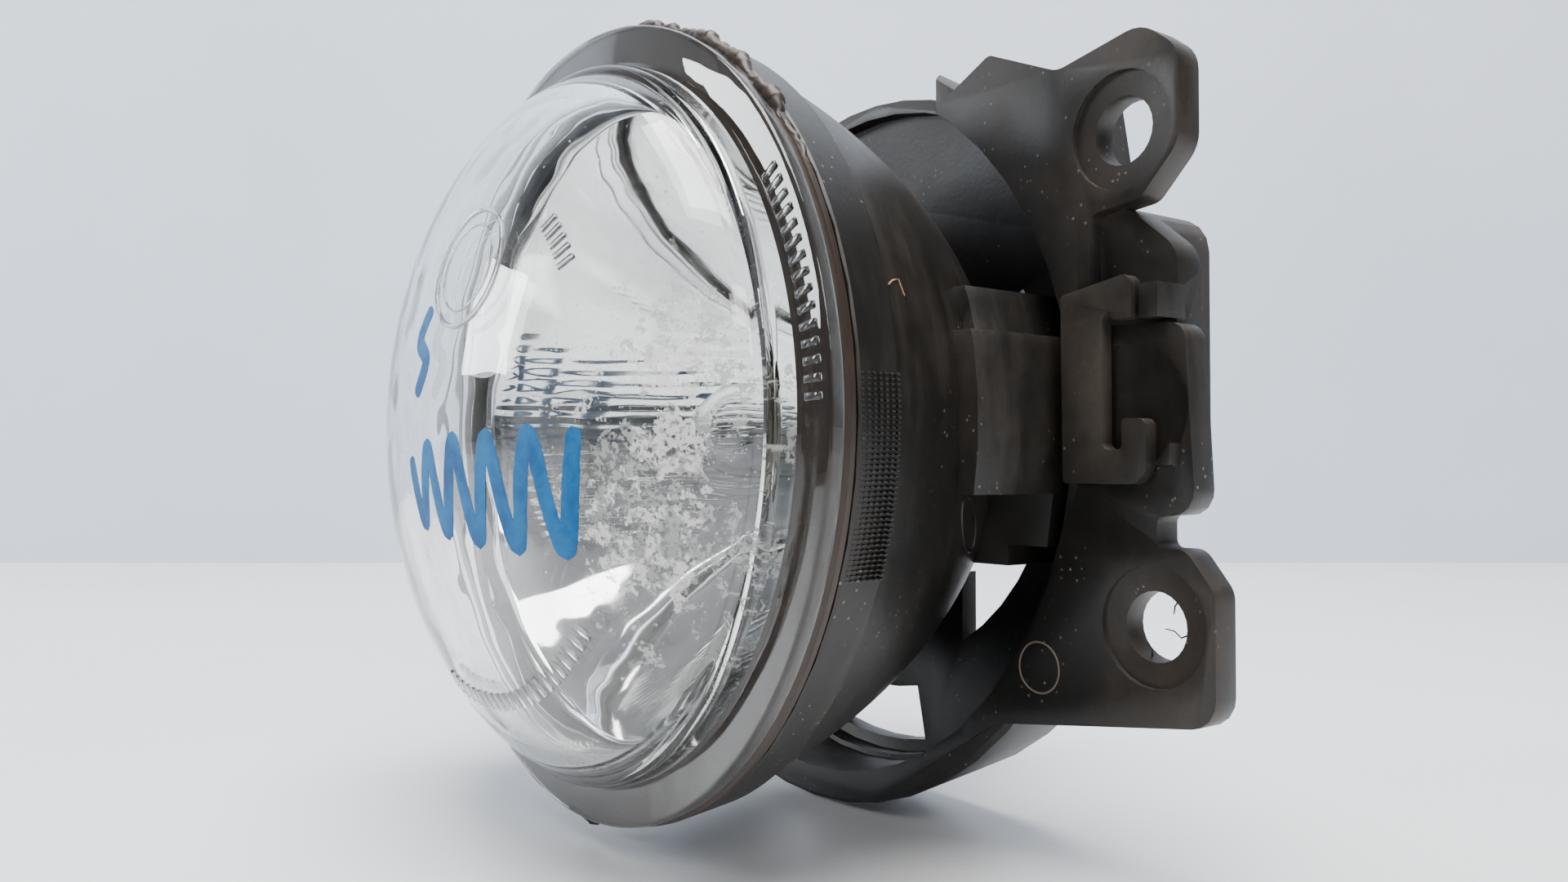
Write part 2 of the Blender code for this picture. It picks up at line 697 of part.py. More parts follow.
def make_pivot(side, sign):
    """Steel pivot pin in the pod and the flanged bush that it turns in."""
    chamfer = 0.4 * MM
    pin_profile = [
        (0.0, PIN_OUTER_X),
        (PIN_RADIUS - chamfer, PIN_OUTER_X),
        (PIN_RADIUS, PIN_OUTER_X - chamfer),
        (PIN_RADIUS, PIN_INNER_X + chamfer),
        (PIN_RADIUS - chamfer, PIN_INNER_X),
        (0.0, PIN_INNER_X),
    ]
    placing = Matrix.Translation((0, PIVOT_Y, 0)) @ Matrix.Rotation(sign * math.pi / 2, 4, "Y")
    pin = add_object(
        "pivot_pin_" + side, turned("pivot_pin_" + side, pin_profile, SMALL_STEPS, placing), lamp
    )
    finish(pin, (0.55, 0.55, 0.56), 0.35, metallic=1.0)
    bore = PIN_RADIUS + RUNNING_GAP
    flange_inner = BOX_INNER_WALL_X + SEAT_GAP
    bush_inner = flange_inner + BUSH_FLANGE_THICKNESS - BUSH_LENGTH
    bush_profile = [
        (BUSH_RADIUS + BUSH_FLANGE, flange_inner + BUSH_FLANGE_THICKNESS),
        (BUSH_RADIUS + BUSH_FLANGE, flange_inner),
        (BUSH_RADIUS, flange_inner),
        (BUSH_RADIUS, bush_inner),
        (bore, bush_inner),
        (bore, flange_inner + BUSH_FLANGE_THICKNESS),
    ]
    bush = add_object(
        "pivot_bush_" + side,
        turned("pivot_bush_" + side, bush_profile, SMALL_STEPS, placing, loop=True),
        lamp,
    )
    finish(bush, (0.62, 0.60, 0.54), 0.5)
    return pin, bush


def right_plate_outline():
    """Return the front plate's outline: corner block, upper ear, pivot plate and lower ear."""
    upper_x, upper_z = UPPER_EAR
    lower_x, lower_z = LOWER_EAR
    ear_edge = 6.9 * MM
    plate_edge = 57.9 * MM
    corners = [
        (23.6 * MM, 33.0 * MM, 0),
        (24.2 * MM, 37.6 * MM, 1.0 * MM),
        (32.2 * MM, 41.4 * MM, 1.2 * MM),
        (upper_x - 8.0 * MM, upper_z + 8.0 * MM, 3.0 * MM),
        (upper_x + 2.6 * MM, upper_z + 10.0 * MM, 4.0 * MM),
        (upper_x + ear_edge, upper_z + 6.6 * MM, 3.4 * MM),
        (upper_x + ear_edge, upper_z - 2.6 * MM, 3.6 * MM),
        (upper_x + 2.4 * MM, upper_z - 7.3 * MM, 2.0 * MM),
        (upper_x - 3.8 * MM, upper_z - 8.0 * MM, 1.0 * MM),
        (upper_x - 3.8 * MM, 9.6 * MM, 0),
        (plate_edge - 0.6 * MM, 9.2 * MM, 2.0 * MM),
        (plate_edge + 0.4 * MM, -9.4 * MM, 2.4 * MM),
        (lower_x + 0.6 * MM, -9.4 * MM, 0.8 * MM),
        (lower_x + 0.6 * MM, lower_z + 7.7 * MM, 0.8 * MM),
        (lower_x + 3.8 * MM, lower_z + 7.7 * MM, 2.0 * MM),
        (lower_x + 6.9 * MM, lower_z + 3.8 * MM, 2.6 * MM),
        (lower_x + 6.9 * MM, lower_z - 8.8 * MM, 3.0 * MM),
        (33.0 * MM, lower_z - 12.6 * MM, 1.5 * MM),
        (29.0 * MM, lower_z - 15.0 * MM, 0),
        (23.0 * MM, lower_z, 0),
    ]
    return rounded(corners)


def lobe_outline():
    """Return the outline of the rounded lobe that carries the clip's upper end."""
    corners = [
        (CLIP_SPINE_X, CLIP_LOW + 12.0 * MM, 0),
        (BOX_OUTER_X + 3.8 * MM, CLIP_LOW + 12.0 * MM, 0),
        (BOX_OUTER_X + 4.2 * MM, CLIP_HIGH + 2.6 * MM, 4.0 * MM),
        (BOX_OUTER_X - 1.6 * MM, BOX_HIGH - 0.6 * MM, 4.0 * MM),
        (CLIP_SPINE_X, BOX_HIGH + 0.8 * MM, 0),
    ]
    return rounded(corners)


def corner_block_outline():
    """Return the outline of the deep block beside the upper ear."""
    upper_x, upper_z = UPPER_EAR
    corners = [
        (23.8 * MM, 32.0 * MM, 0),
        (24.6 * MM, 37.0 * MM, 1.5 * MM),
        (33.0 * MM, 39.4 * MM, 1.5 * MM),
        (upper_x - 8.6 * MM, upper_z + 7.0 * MM, 2.0 * MM),
        (upper_x - 6.4 * MM, upper_z - 6.0 * MM, 2.0 * MM),
        (upper_x - 14.0 * MM, upper_z - 9.0 * MM, 0),
    ]
    return rounded(corners)


def far_ear_outline():
    """Return the outline of the single ear on the other side."""
    x, z = FAR_EAR
    corners = [
        (x + 15.0 * MM, z + 8.6 * MM, 0),
        (x - 3.6 * MM, z + 8.6 * MM, 4.0 * MM),
        (x - 6.9 * MM, z + 4.6 * MM, 3.0 * MM),
        (x - 6.9 * MM, z - 5.2 * MM, 3.0 * MM),
        (x - 4.0 * MM, z - 9.0 * MM, 3.0 * MM),
        (x - 1.6 * MM, -FAR_BOX_HALF + 1.2 * MM, 0),
        (x + 15.0 * MM, -FAR_BOX_HALF + 1.2 * MM, 0),
    ]
    return rounded(corners)


def relief_outline():
    """Return the outline of what is cleared outside the ring's low top arc."""
    side_x = RELIEF_X - 1 * MM
    side_z = RELIEF_Z + 1 * MM
    start = 180.0 - math.degrees(math.asin(side_z / RELIEF_RADIUS))
    end = math.degrees(math.acos(side_x / RELIEF_RADIUS))
    reach = 2 * OPENING_RADIUS
    corners = [(side_x, reach), (-reach, reach), (-reach, side_z)]
    return arc((0, 0), RELIEF_RADIUS, start, end, 14) + corners


def rear_hole_outline():
    """Return the outline of the rear opening, narrowed by a web at the bottom and at the upper right."""
    hole_start = -math.degrees(math.acos(WEB_OUTER_X / FLANGE_BORE))
    hole_end = 360.0 - math.degrees(math.acos(WEB_INNER_X / FLANGE_BORE))
    web_start = -math.degrees(math.acos(WEB_INNER_X / WEB_TOP_RADIUS))
    web_end = -math.degrees(math.acos(WEB_OUTER_X / WEB_TOP_RADIUS))
    right = arc((0, 0), FLANGE_BORE, hole_start, UPPER_WEB_START, 12)
    upper = arc((0, 0), WEB_TOP_RADIUS, UPPER_WEB_START, UPPER_WEB_END, 7)
    left = arc((0, 0), FLANGE_BORE, UPPER_WEB_END, hole_end, 22)
    return right + upper + left + arc((0, 0), WEB_TOP_RADIUS, web_start, web_end, 6)


def pivot_pocket(name, sign, outer_x):
    """Return the hollow behind a pivot's bush, open at the back."""
    near = sign * BOX_INNER_WALL_X
    far = sign * (outer_x - BOX_WALL)
    half = BUSH_RADIUS + BUSH_FLANGE + SEAT_GAP
    return block(
        name,
        (min(near, far), PIVOT_Y - half, -half),
        (max(near, far), BOX_REAR + 2 * MM, half),
    )


def make_bracket():
    """Plastic carrier: deep ring, rear flange, front plate, three ears and two pivot boxes."""
    ring = [
        (0.0, RING_REAR),
        (RING_REAR_RADIUS - 1.0 * MM, RING_REAR),
        (RING_REAR_RADIUS, RING_REAR - 1.0 * MM),
        (RING_FRONT_RADIUS, RING_FRONT + 0.6 * MM),
        (RING_FRONT_RADIUS - 0.6 * MM, RING_FRONT),
        (0.0, RING_FRONT),
    ]
    bracket = add_object("bracket", turned("bracket", ring, ROUND_STEPS, ROUND_ABOUT_Y), lamp)
    cut(
        bracket,
        block(
            "front_relief",
            (-2 * OPENING_RADIUS, RING_FRONT - 5 * MM, RELIEF_Z),
            (RELIEF_X, RELIEF_Y, 2 * OPENING_RADIUS),
        ),
    )
    cut(bracket, plate("relief_round", relief_outline(), RING_FRONT - 5 * MM, RING_REAR + 5 * MM))
    join(bracket, plate("right_plate", right_plate_outline(), PLATE_FRONT, 0.0))
    join(bracket, plate("far_plate", far_ear_outline(), PLATE_FRONT, 0.0))
    join(
        bracket,
        plate("corner_block", corner_block_outline(), PLATE_FRONT + 0.6 * MM, FLANGE_FRONT - 0.9 * MM),
    )
    join(
        bracket,
        block(
            "pivot_box",
            (OPENING_RADIUS - 3 * MM, BOX_FRONT, BOX_LOW),
            (BOX_OUTER_X, BOX_REAR, BOX_HIGH),
            corner=4.0 * MM,
            corner_axis=1,
            segments=4,
        ),
    )
    join(bracket, plate("lobe", lobe_outline(), BOX_FRONT, LOBE_REAR))
    join(
        bracket,
        block(
            "far_box",
            (-FAR_BOX_OUTER_X, BOX_FRONT, -FAR_BOX_HALF),
            (-OPENING_RADIUS + 3 * MM, BOX_REAR, FAR_BOX_HALF),
            corner=2.5 * MM,
            corner_axis=1,
        ),
    )
    join(
        bracket,
        cylinder(
            "adjuster_boss",
            (ADJUSTER_X, (RING_REAR - 1 * MM + BOSS_REAR) / 2, ADJUSTER_Z),
            BOSS_RADIUS,
            BOSS_REAR - RING_REAR + 1 * MM,
        ),
    )
    snap_x = CLIP_REACH - 1.6 * MM + 2 * SEAT_GAP
    join(
        bracket,
        block(
            "snap_block",
            (snap_x, CLIP_FRONT + 0.4 * MM, CLIP_HIGH - 4.3 * MM),
            (snap_x + 2.2 * MM, BOX_FRONT + 1 * MM, CLIP_HIGH - 0.9 * MM),
        ),
    )
    hook_x = CLIP_REACH + 2 * SEAT_GAP
    join(
        bracket,
        block(
            "hook_block",
            (hook_x, CLIP_FRONT + 0.4 * MM, CLIP_LOW + 1.9 * MM),
            (hook_x + 1.8 * MM, BOX_FRONT + 1 * MM, CLIP_LOW + 6.7 * MM),
        ),
    )
    bore = [
        (0.0, FLANGE_FRONT),
        (INNER_WALL_RADIUS, FLANGE_FRONT),
        (INNER_WALL_RADIUS, INNER_WALL_FRONT),
        (OPENING_RADIUS, INNER_WALL_FRONT),
        (OPENING_RADIUS, RING_FRONT - 10 * MM),
        (0.0, RING_FRONT - 10 * MM),
    ]
    cut(bracket, turned("opening", bore, ROUND_STEPS, ROUND_ABOUT_Y))
    cut(bracket, plate("rear_hole", rear_hole_outline(), FLANGE_FRONT - 1 * MM, RING_REAR + 5 * MM))
    cut(bracket, pivot_pocket("pivot_pocket_right", 1, BOX_OUTER_X))
    cut(bracket, pivot_pocket("pivot_pocket_left", -1, FAR_BOX_OUTER_X))
    cut(
        bracket,
        block(
            "pivot_box_cavity",
            (BOX_INNER_WALL_X, BOX_FRONT + BOX_FLOOR, BUSH_RADIUS + BUSH_FLANGE + BOX_WALL),
            (BOX_OUTER_X - BOX_WALL, BOX_REAR + 2 * MM, BOX_HIGH - BOX_WALL),
            corner=1.2 * MM,
            corner_axis=1,
            segments=2,
        ),
    )
    for side, sign in (("right", 1), ("left", -1)):
        cut(
            bracket,
            cylinder(
                "bush_hole_" + side,
                (sign * (BOX_INNER_WALL_X - 2 * MM), PIVOT_Y, 0),
                BUSH_RADIUS + RUNNING_GAP,
                8 * MM,
                axis="X",
            ),
        )
    cut(
        bracket,
        cylinder(
            "screw_hole",
            (ADJUSTER_X, FLANGE_FRONT, ADJUSTER_Z),
            SCREW_RADIUS + RUNNING_GAP,
            2 * (BOSS_REAR - FLANGE_FRONT + 1 * MM),
        ),
    )
    for index in range(WINDOW_COUNT):
        middle = WINDOW_FIRST + WINDOW_PITCH * index
        start = middle - WINDOW_SPAN / 2
        end = middle + WINDOW_SPAN / 2
        outline = arc((0, 0), WINDOW_OUTER, start, end, 4) + arc((0, 0), WINDOW_INNER, end, start, 4)
        cut(bracket, plate("window_" + str(index), outline, FLANGE_FRONT - 1 * MM, RING_REAR + 1 * MM))
    for name, (x, z) in (("upper", UPPER_EAR), ("lower", LOWER_EAR), ("far", FAR_EAR)):
        cut(bracket, cylinder("ear_hole_" + name, (x, 0, z), EAR_HOLE_RADIUS, 20 * MM))
        recess_y = PLATE_FRONT + EAR_RECESS_DEPTH - 5 * MM
        cut(bracket, cylinder("ear_recess_" + name, (x, recess_y, z), EAR_RECESS_RADIUS, 10 * MM))
    pad_y = PLATE_FRONT + EAR_RECESS_DEPTH - 5 * MM
    cut(bracket, cylinder("pivot_pad", (PAD_CENTRE[0], pad_y, PAD_CENTRE[1]), PAD_RADIUS, 10 * MM))
    for side, sign in (("right", 1), ("left", -1)):
        for level, leg_z in clip_leg_places():
            low, high = leg_corners(sign, leg_z)
            mouth = Vector((SEAT_GAP, CLIP_THICKNESS, SEAT_GAP))
            end = Vector((SEAT_GAP, SEAT_GAP, SEAT_GAP))
            cut(
                bracket,
                block("leg_slot_" + level + "_" + side, Vector(low) - mouth, Vector(high) + end),
            )
    finish(bracket, (0.050, 0.044, 0.040), 0.65)
    return bracket


def clip_leg_places():
    """Return the heights of a clip's two legs."""
    return (("high", CLIP_HIGH - 3.4 * MM), ("low", CLIP_LOW + 1.7 * MM))


def leg_corners(sign, leg_z):
    """Return the low and high corners of one leg of a clip."""
    near = sign * (LEG_X - LEG_WIDTH / 2)
    far = sign * (LEG_X + LEG_WIDTH / 2)
    low = (min(near, far), CLIP_FRONT + 0.5 * MM, leg_z - LEG_HEIGHT / 2)
    high = (max(near, far), PLATE_FRONT + LEG_DEPTH, leg_z + LEG_HEIGHT / 2)
    return low, high


def make_clip(side, sign):
    """C-shaped snap clip over a pivot, with two legs through the plate."""
    inner = CLIP_SPINE_X + CLIP_SPINE_WIDTH
    corners = [
        (CLIP_SPINE_X, CLIP_LOW, 0.5 * MM),
        (CLIP_SPINE_X - 0.2 * MM, CLIP_HIGH - 1.2 * MM, 0.5 * MM),
        (CLIP_REACH - 1.6 * MM, CLIP_HIGH + 0.3 * MM, 1.0 * MM),
        (CLIP_REACH - 1.6 * MM, CLIP_HIGH - 4.2 * MM, 0.4 * MM),
        (CLIP_REACH - 4.0 * MM, CLIP_HIGH - 4.2 * MM, 0.4 * MM),
        (CLIP_REACH - 4.0 * MM, CLIP_HIGH - CLIP_ARM, 0.3 * MM),
        (inner, CLIP_HIGH - CLIP_ARM, 0.8 * MM),
        (inner, CLIP_LOW + CLIP_ARM, 0.8 * MM),
        (CLIP_REACH - 2.8 * MM, CLIP_LOW + CLIP_ARM, 0.4 * MM),
        (CLIP_REACH - 2.8 * MM, CLIP_LOW + CLIP_ARM + 3.0 * MM, 0.4 * MM),
        (CLIP_REACH, CLIP_LOW + CLIP_ARM + 3.0 * MM, 0.8 * MM),
        (CLIP_REACH, CLIP_LOW, 2.0 * MM),
    ]
    outline = [(sign * x, z) for x, z in rounded(corners, 3)]
    clip = add_object(
        "pivot_clip_" + side,
        plate("pivot_clip_" + side, outline, CLIP_FRONT, PLATE_FRONT - SEAT_GAP),
        lamp,
    )
    for level, leg_z in clip_leg_places():
        low, high = leg_corners(sign, leg_z)
        join(clip, block("leg_" + level + "_" + side, low, high))
    finish(clip, (0.058, 0.050, 0.044), 0.6)
    return clip


def make_adjuster():
    """Adjuster screw with a cross recess, and the ring clip that keeps it in its boss."""
    head_front = BOSS_REAR + SEAT_GAP
    head_rear = head_front + SCREW_HEAD_LENGTH
    groove_rear = FLANGE_FRONT - SEAT_GAP
    groove_front = groove_rear - GROOVE_WIDTH
    chamfer = 0.5 * MM
    profile = [
        (0.0, head_rear),
        (SCREW_HEAD_RADIUS - chamfer, head_rear),
        (SCREW_HEAD_RADIUS, head_rear - chamfer),
        (SCREW_HEAD_RADIUS, head_front),
        (SCREW_RADIUS, head_front),
        (SCREW_RADIUS, groove_rear),
        (SCREW_RADIUS - GROOVE_DEPTH, groove_rear),
        (SCREW_RADIUS - GROOVE_DEPTH, groove_front),
        (SCREW_RADIUS, groove_front),
        (SCREW_RADIUS, SCREW_TIP_Y + chamfer),
        (SCREW_RADIUS - chamfer, SCREW_TIP_Y),
        (0.0, SCREW_TIP_Y),
    ]
    placing = Matrix.Translation((ADJUSTER_X, 0, ADJUSTER_Z)) @ ROUND_ABOUT_Y
    screw = add_object(
        "adjuster_screw", turned("adjuster_screw", profile, SMALL_STEPS, placing), lamp
    )
    recess_front = head_rear - 2.2 * MM
    for name, half_x, half_z in (("slot_flat", 2.6 * MM, 0.5 * MM), ("slot_tall", 0.5 * MM, 2.6 * MM)):
        cut(
            screw,
            block(
                name,
                (ADJUSTER_X - half_x, recess_front, ADJUSTER_Z - half_z),
                (ADJUSTER_X + half_x, head_rear + 1 * MM, ADJUSTER_Z + half_z),
            ),
        )
    finish(screw, (0.50, 0.47, 0.40), 0.4, metallic=0.8)
    ring_bore = SCREW_RADIUS - GROOVE_DEPTH + SEAT_GAP
    ring_profile = [
        (CLIP_RING_RADIUS, groove_rear - SEAT_GAP),
        (CLIP_RING_RADIUS, groove_front + SEAT_GAP),
        (ring_bore, groove_front + SEAT_GAP),
        (ring_bore, groove_rear - SEAT_GAP),
    ]
    ring = add_object(
        "adjuster_clip", turned("adjuster_clip", ring_profile, SMALL_STEPS, placing, loop=True), lamp
    )
    cut(
        ring,
        block(
            "ring_split",
            (ADJUSTER_X - 1 * MM, groove_front - 1 * MM, ADJUSTER_Z),
            (ADJUSTER_X + 1 * MM, groove_rear + 1 * MM, ADJUSTER_Z + 2 * CLIP_RING_RADIUS),
        ),
    )
    finish(ring, (0.45, 0.45, 0.46), 0.35, metallic=1.0)
    return screw, ring


def make_nut():
    """Plastic adjuster nut seated in the pod's lug."""
    bore = SCREW_RADIUS + THREAD_GAP
    profile = [
        (NUT_FLANGE_RADIUS, LUG_REAR + SEAT_GAP + NUT_FLANGE_THICKNESS),
        (NUT_FLANGE_RADIUS, LUG_REAR + SEAT_GAP),
        (NUT_RADIUS, LUG_REAR + SEAT_GAP),
        (NUT_RADIUS, LUG_FRONT - SEAT_GAP),
        (bore, LUG_FRONT - SEAT_GAP),
        (bore, LUG_REAR + SEAT_GAP + NUT_FLANGE_THICKNESS),
    ]
    placing = Matrix.Translation((ADJUSTER_X, 0, ADJUSTER_Z)) @ ROUND_ABOUT_Y
    nut = add_object(
        "adjuster_nut", turned("adjuster_nut", profile, SMALL_STEPS, placing, loop=True), lamp
    )
    finish(nut, (0.75, 0.73, 0.68), 0.45)
    return nut


def make_vent():
    """Rubber vent cap over the spigot, with a filter disc inside it."""
    bore = SPIGOT_RADIUS + SEAT_GAP
    outer = bore + VENT_CAP_WALL
    filter_front = SPIGOT_REAR + SEAT_GAP
    filter_rear = filter_front + FILTER_THICKNESS
    inside_end = filter_rear + SEAT_GAP
    profile = [
        (0.0, inside_end + VENT_CAP_END),
        (outer - 0.8 * MM, inside_end + VENT_CAP_END),
        (outer, inside_end + VENT_CAP_END - 0.8 * MM),
        (outer, VENT_CAP_FRONT),
        (bore, VENT_CAP_FRONT),
        (bore, inside_end),
        (0.0, inside_end),
    ]
    placing = Matrix.Translation((VENT_X, 0, VENT_Z)) @ ROUND_ABOUT_Y
    cap = add_object("vent_cap", turned("vent_cap", profile, SMALL_STEPS, placing), lamp)
    finish(cap, (0.020, 0.020, 0.020), 0.8)
    disc = add_object(
        "vent_filter",
        cylinder(
            "vent_filter",
            (VENT_X, (filter_front + filter_rear) / 2, VENT_Z),
            SPIGOT_RADIUS - SEAT_GAP,
            FILTER_THICKNESS,
        ),
        lamp,
    )
    finish(disc, (0.80, 0.80, 0.78), 0.9)
    return cap, disc


def make_bulb_glass():
    """Bulb glass: a round-ended tube, open where it enters the collar."""
    inner_radius = BULB_RADIUS - BULB_WALL
    dome_centre = BULB_TIP_Y + BULB_RADIUS
    outer = [
        (BULB_RADIUS * math.cos(turn), dome_centre - BULB_RADIUS * math.sin(turn))
        for turn in (math.pi / 2 * index / 4 for index in range(5))
    ]
    inner = [
        (inner_radius * math.cos(turn), dome_centre - inner_radius * math.sin(turn))
        for turn in (math.pi / 2 * index / 4 for index in range(5))
    ]
    profile = [(0.0, inner[-1][1])]
    profile += inner[-2::-1]
    profile += [(inner_radius, BULB_ROOT_Y), (BULB_RADIUS, BULB_ROOT_Y)]
    profile += outer[:-1]
    profile += [(0.0, BULB_TIP_Y)]
    glass = add_object("bulb_glass", turned("bulb_glass", profile, SMALL_STEPS, ROUND_ABOUT_Y), lamp)
    finish(glass, (0.9, 0.9, 0.9), 0.03, alpha=0.3)
    return glass


def make_filament():
    """Filament and its two lead wires, the long one round the front end."""
    filament = add_object(
        "filament",
        cylinder("filament", (0, FILAMENT_Y, 0), FILAMENT_RADIUS, FILAMENT_LENGTH, steps=12),
        lamp,
    )
    finish(filament, (0.35, 0.34, 0.33), 0.4, metallic=1.0)
    front_end = FILAMENT_Y - FILAMENT_LENGTH / 2 - SEAT_GAP - LEAD_RADIUS
    rear_end = FILAMENT_Y + FILAMENT_LENGTH / 2 + SEAT_GAP + LEAD_RADIUS
    bend = 0.8 * MM
    long_path = [
        (0, BULB_ROOT_Y, -LEAD_OFFSET),
        (0, front_end + bend, -LEAD_OFFSET),
        (0, front_end, -LEAD_OFFSET + bend),
        (0, front_end, 0),
    ]
    short_path = [
        (0, BULB_ROOT_Y, LEAD_OFFSET),
        (0, rear_end + bend, LEAD_OFFSET),
        (0, rear_end, LEAD_OFFSET - bend),
        (0, rear_end, 0),
    ]
    pieces = [filament]
    for name, path in (("lead_wire_long", long_path), ("lead_wire_short", short_path)):
        lead = add_object(name, wire(name, path, LEAD_RADIUS), lamp)
        finish(lead, (0.6, 0.6, 0.6), 0.35, metallic=1.0)
        pieces.append(lead)
    return pieces


def make_collar():
    """Bulb collar: a plug with three bayonet tabs, a front sleeve and a rear flange."""
    sleeve_bore = BULB_RADIUS + SEAT_GAP
    floor = BULB_ROOT_Y + SEAT_GAP
    profile = [
        (0.0, COLLAR_REAR),
        (COLLAR_FLANGE_RADIUS, COLLAR_REAR),
        (COLLAR_FLANGE_RADIUS, COLLAR_FLANGE_FRONT),
        (COLLAR_RADIUS, COLLAR_FLANGE_FRONT),
        (COLLAR_RADIUS, COLLAR_SHOULDER_Y),
        (COLLAR_SLEEVE_RADIUS, COLLAR_SHOULDER_Y - 1.5 * MM),
        (COLLAR_SLEEVE_RADIUS, COLLAR_FRONT),
        (sleeve_bore, COLLAR_FRONT),
        (sleeve_bore, floor),
        (0.0, floor),
    ]
    collar = add_object("bulb_collar", turned("bulb_collar", profile, SMALL_STEPS, ROUND_ABOUT_Y), lamp)
    tab_rear = NECK_REAR - NECK_LIP - NECK_BORE_GAP
    for index in range(TAB_COUNT):
        tab = block(
            "tab_" + str(index),
            (COLLAR_RADIUS - 2 * MM, tab_rear - TAB_THICKNESS, -TAB_WIDTH / 2),
            (TAB_RADIUS, tab_rear, TAB_WIDTH / 2),
        )
        tab.transform(Matrix.Rotation(tab_turn(index), 4, "Y"))
        join(collar, tab)
    finish(collar, (0.60, 0.58, 0.52), 0.45)
    return collar


def make_seal():
    """Rubber ring between the neck and the collar's flange."""
    centre_y = NECK_REAR + SEAT_GAP + O_RING_SECTION
    ring_radius = COLLAR_RADIUS + SEAT_GAP + O_RING_SECTION
    section = [
        (ring_radius + O_RING_SECTION * math.cos(turn), centre_y - O_RING_SECTION * math.sin(turn))
        for turn in (2 * math.pi * index / 6 for index in range(6))
    ]
    seal = add_object("bulb_seal", turned("bulb_seal", section, SMALL_STEPS, ROUND_ABOUT_Y, loop=True), lamp)
    finish(seal, (0.45, 0.12, 0.05), 0.6)
    return seal


def make_connector():
    """Elbow connector with its socket open upwards, and two blade terminals standing in it."""
    base_rear = BASE_FRONT + BASE_DEPTH
    base = add_object(
        "bulb_base",
        block(
            "bulb_base",
            (-BASE_HALF_WIDTH, BASE_FRONT, BASE_LOW),
            (BASE_HALF_WIDTH, base_rear, BASE_TOP),
            corner=BASE_CORNER,
            corner_axis=2,
        ),
        lamp,
    )
    join(
        base,
        block(
            "latch_key",
            (-KEY_WIDTH / 2, base_rear - 1 * MM, BASE_TOP - KEY_LENGTH),
            (KEY_WIDTH / 2, base_rear + KEY_HEIGHT, BASE_TOP - 2 * MM),
        ),
    )
    cut(
        base,
        block(
            "socket",
            (-BASE_HALF_WIDTH + SOCKET_WALL, BASE_FRONT + SOCKET_WALL, SOCKET_FLOOR),
            (BASE_HALF_WIDTH - SOCKET_WALL, base_rear - SOCKET_WALL, BASE_TOP + 5 * MM),
            corner=1.2 * MM,
            corner_axis=2,
        ),
    )
    finish(base, (0.030, 0.030, 0.032), 0.5)
    pieces = [base]
    blade_y = BASE_FRONT + BASE_DEPTH / 2
    for side, sign in (("right", 1), ("left", -1)):
        centre_x = sign * TERMINAL_SPACING / 2
        blade = add_object(
            "terminal_" + side,
            block(
                "terminal_" + side,
                (centre_x - TERMINAL_WIDTH / 2, blade_y - TERMINAL_THICKNESS / 2, SOCKET_FLOOR + SEAT_GAP),
                (
                    centre_x + TERMINAL_WIDTH / 2,
                    blade_y + TERMINAL_THICKNESS / 2,
                    SOCKET_FLOOR + SEAT_GAP + TERMINAL_HEIGHT,
                ),
            ),
            lamp,
        )
        finish(blade, (0.72, 0.72, 0.70), 0.3, metallic=1.0)
        pieces.append(blade)
    return pieces


def build():
    """Make every piece and hang the moving ones on their joints' axes."""
    tilt = axis_empty("lamp_tilt_axis", (0, PIVOT_Y, 0))
    spin = axis_empty("adjuster_spin_axis", (ADJUSTER_X, FLANGE_FRONT, ADJUSTER_Z))
    twist = axis_empty("bulb_twist_axis", (0, NECK_REAR, 0))
    hang(twist, tilt)
    make_bracket()
    pod = [make_lens(), make_sealant(), make_housing(), make_reflector(), make_nut(), *make_vent()]
    for side, sign in (("right", 1), ("left", -1)):
        pin, _bush = make_pivot(side, sign)
        pod.append(pin)
        make_clip(side, sign)
    for item in pod:
        hang(item, tilt)
    for item in make_adjuster():
        hang(item, spin)
    for item in (make_bulb_glass(), *make_filament(), make_collar(), make_seal(), *make_connector()):
        hang(item, twist)


clear_scene()
lamp = new_collection("fog_lamp")
cutters = new_collection("cutters")
build()
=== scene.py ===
"""Looks of the round fog lamp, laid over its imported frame.

Every length is in metres in the frame's own axes: the lens faces -Y, the pair of ears is on +X and +Z is up.
"""

import logging
import math
from dataclasses import dataclass, field
from enum import Enum
from typing import Callable, Sequence

import bmesh
import bpy
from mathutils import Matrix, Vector, noise


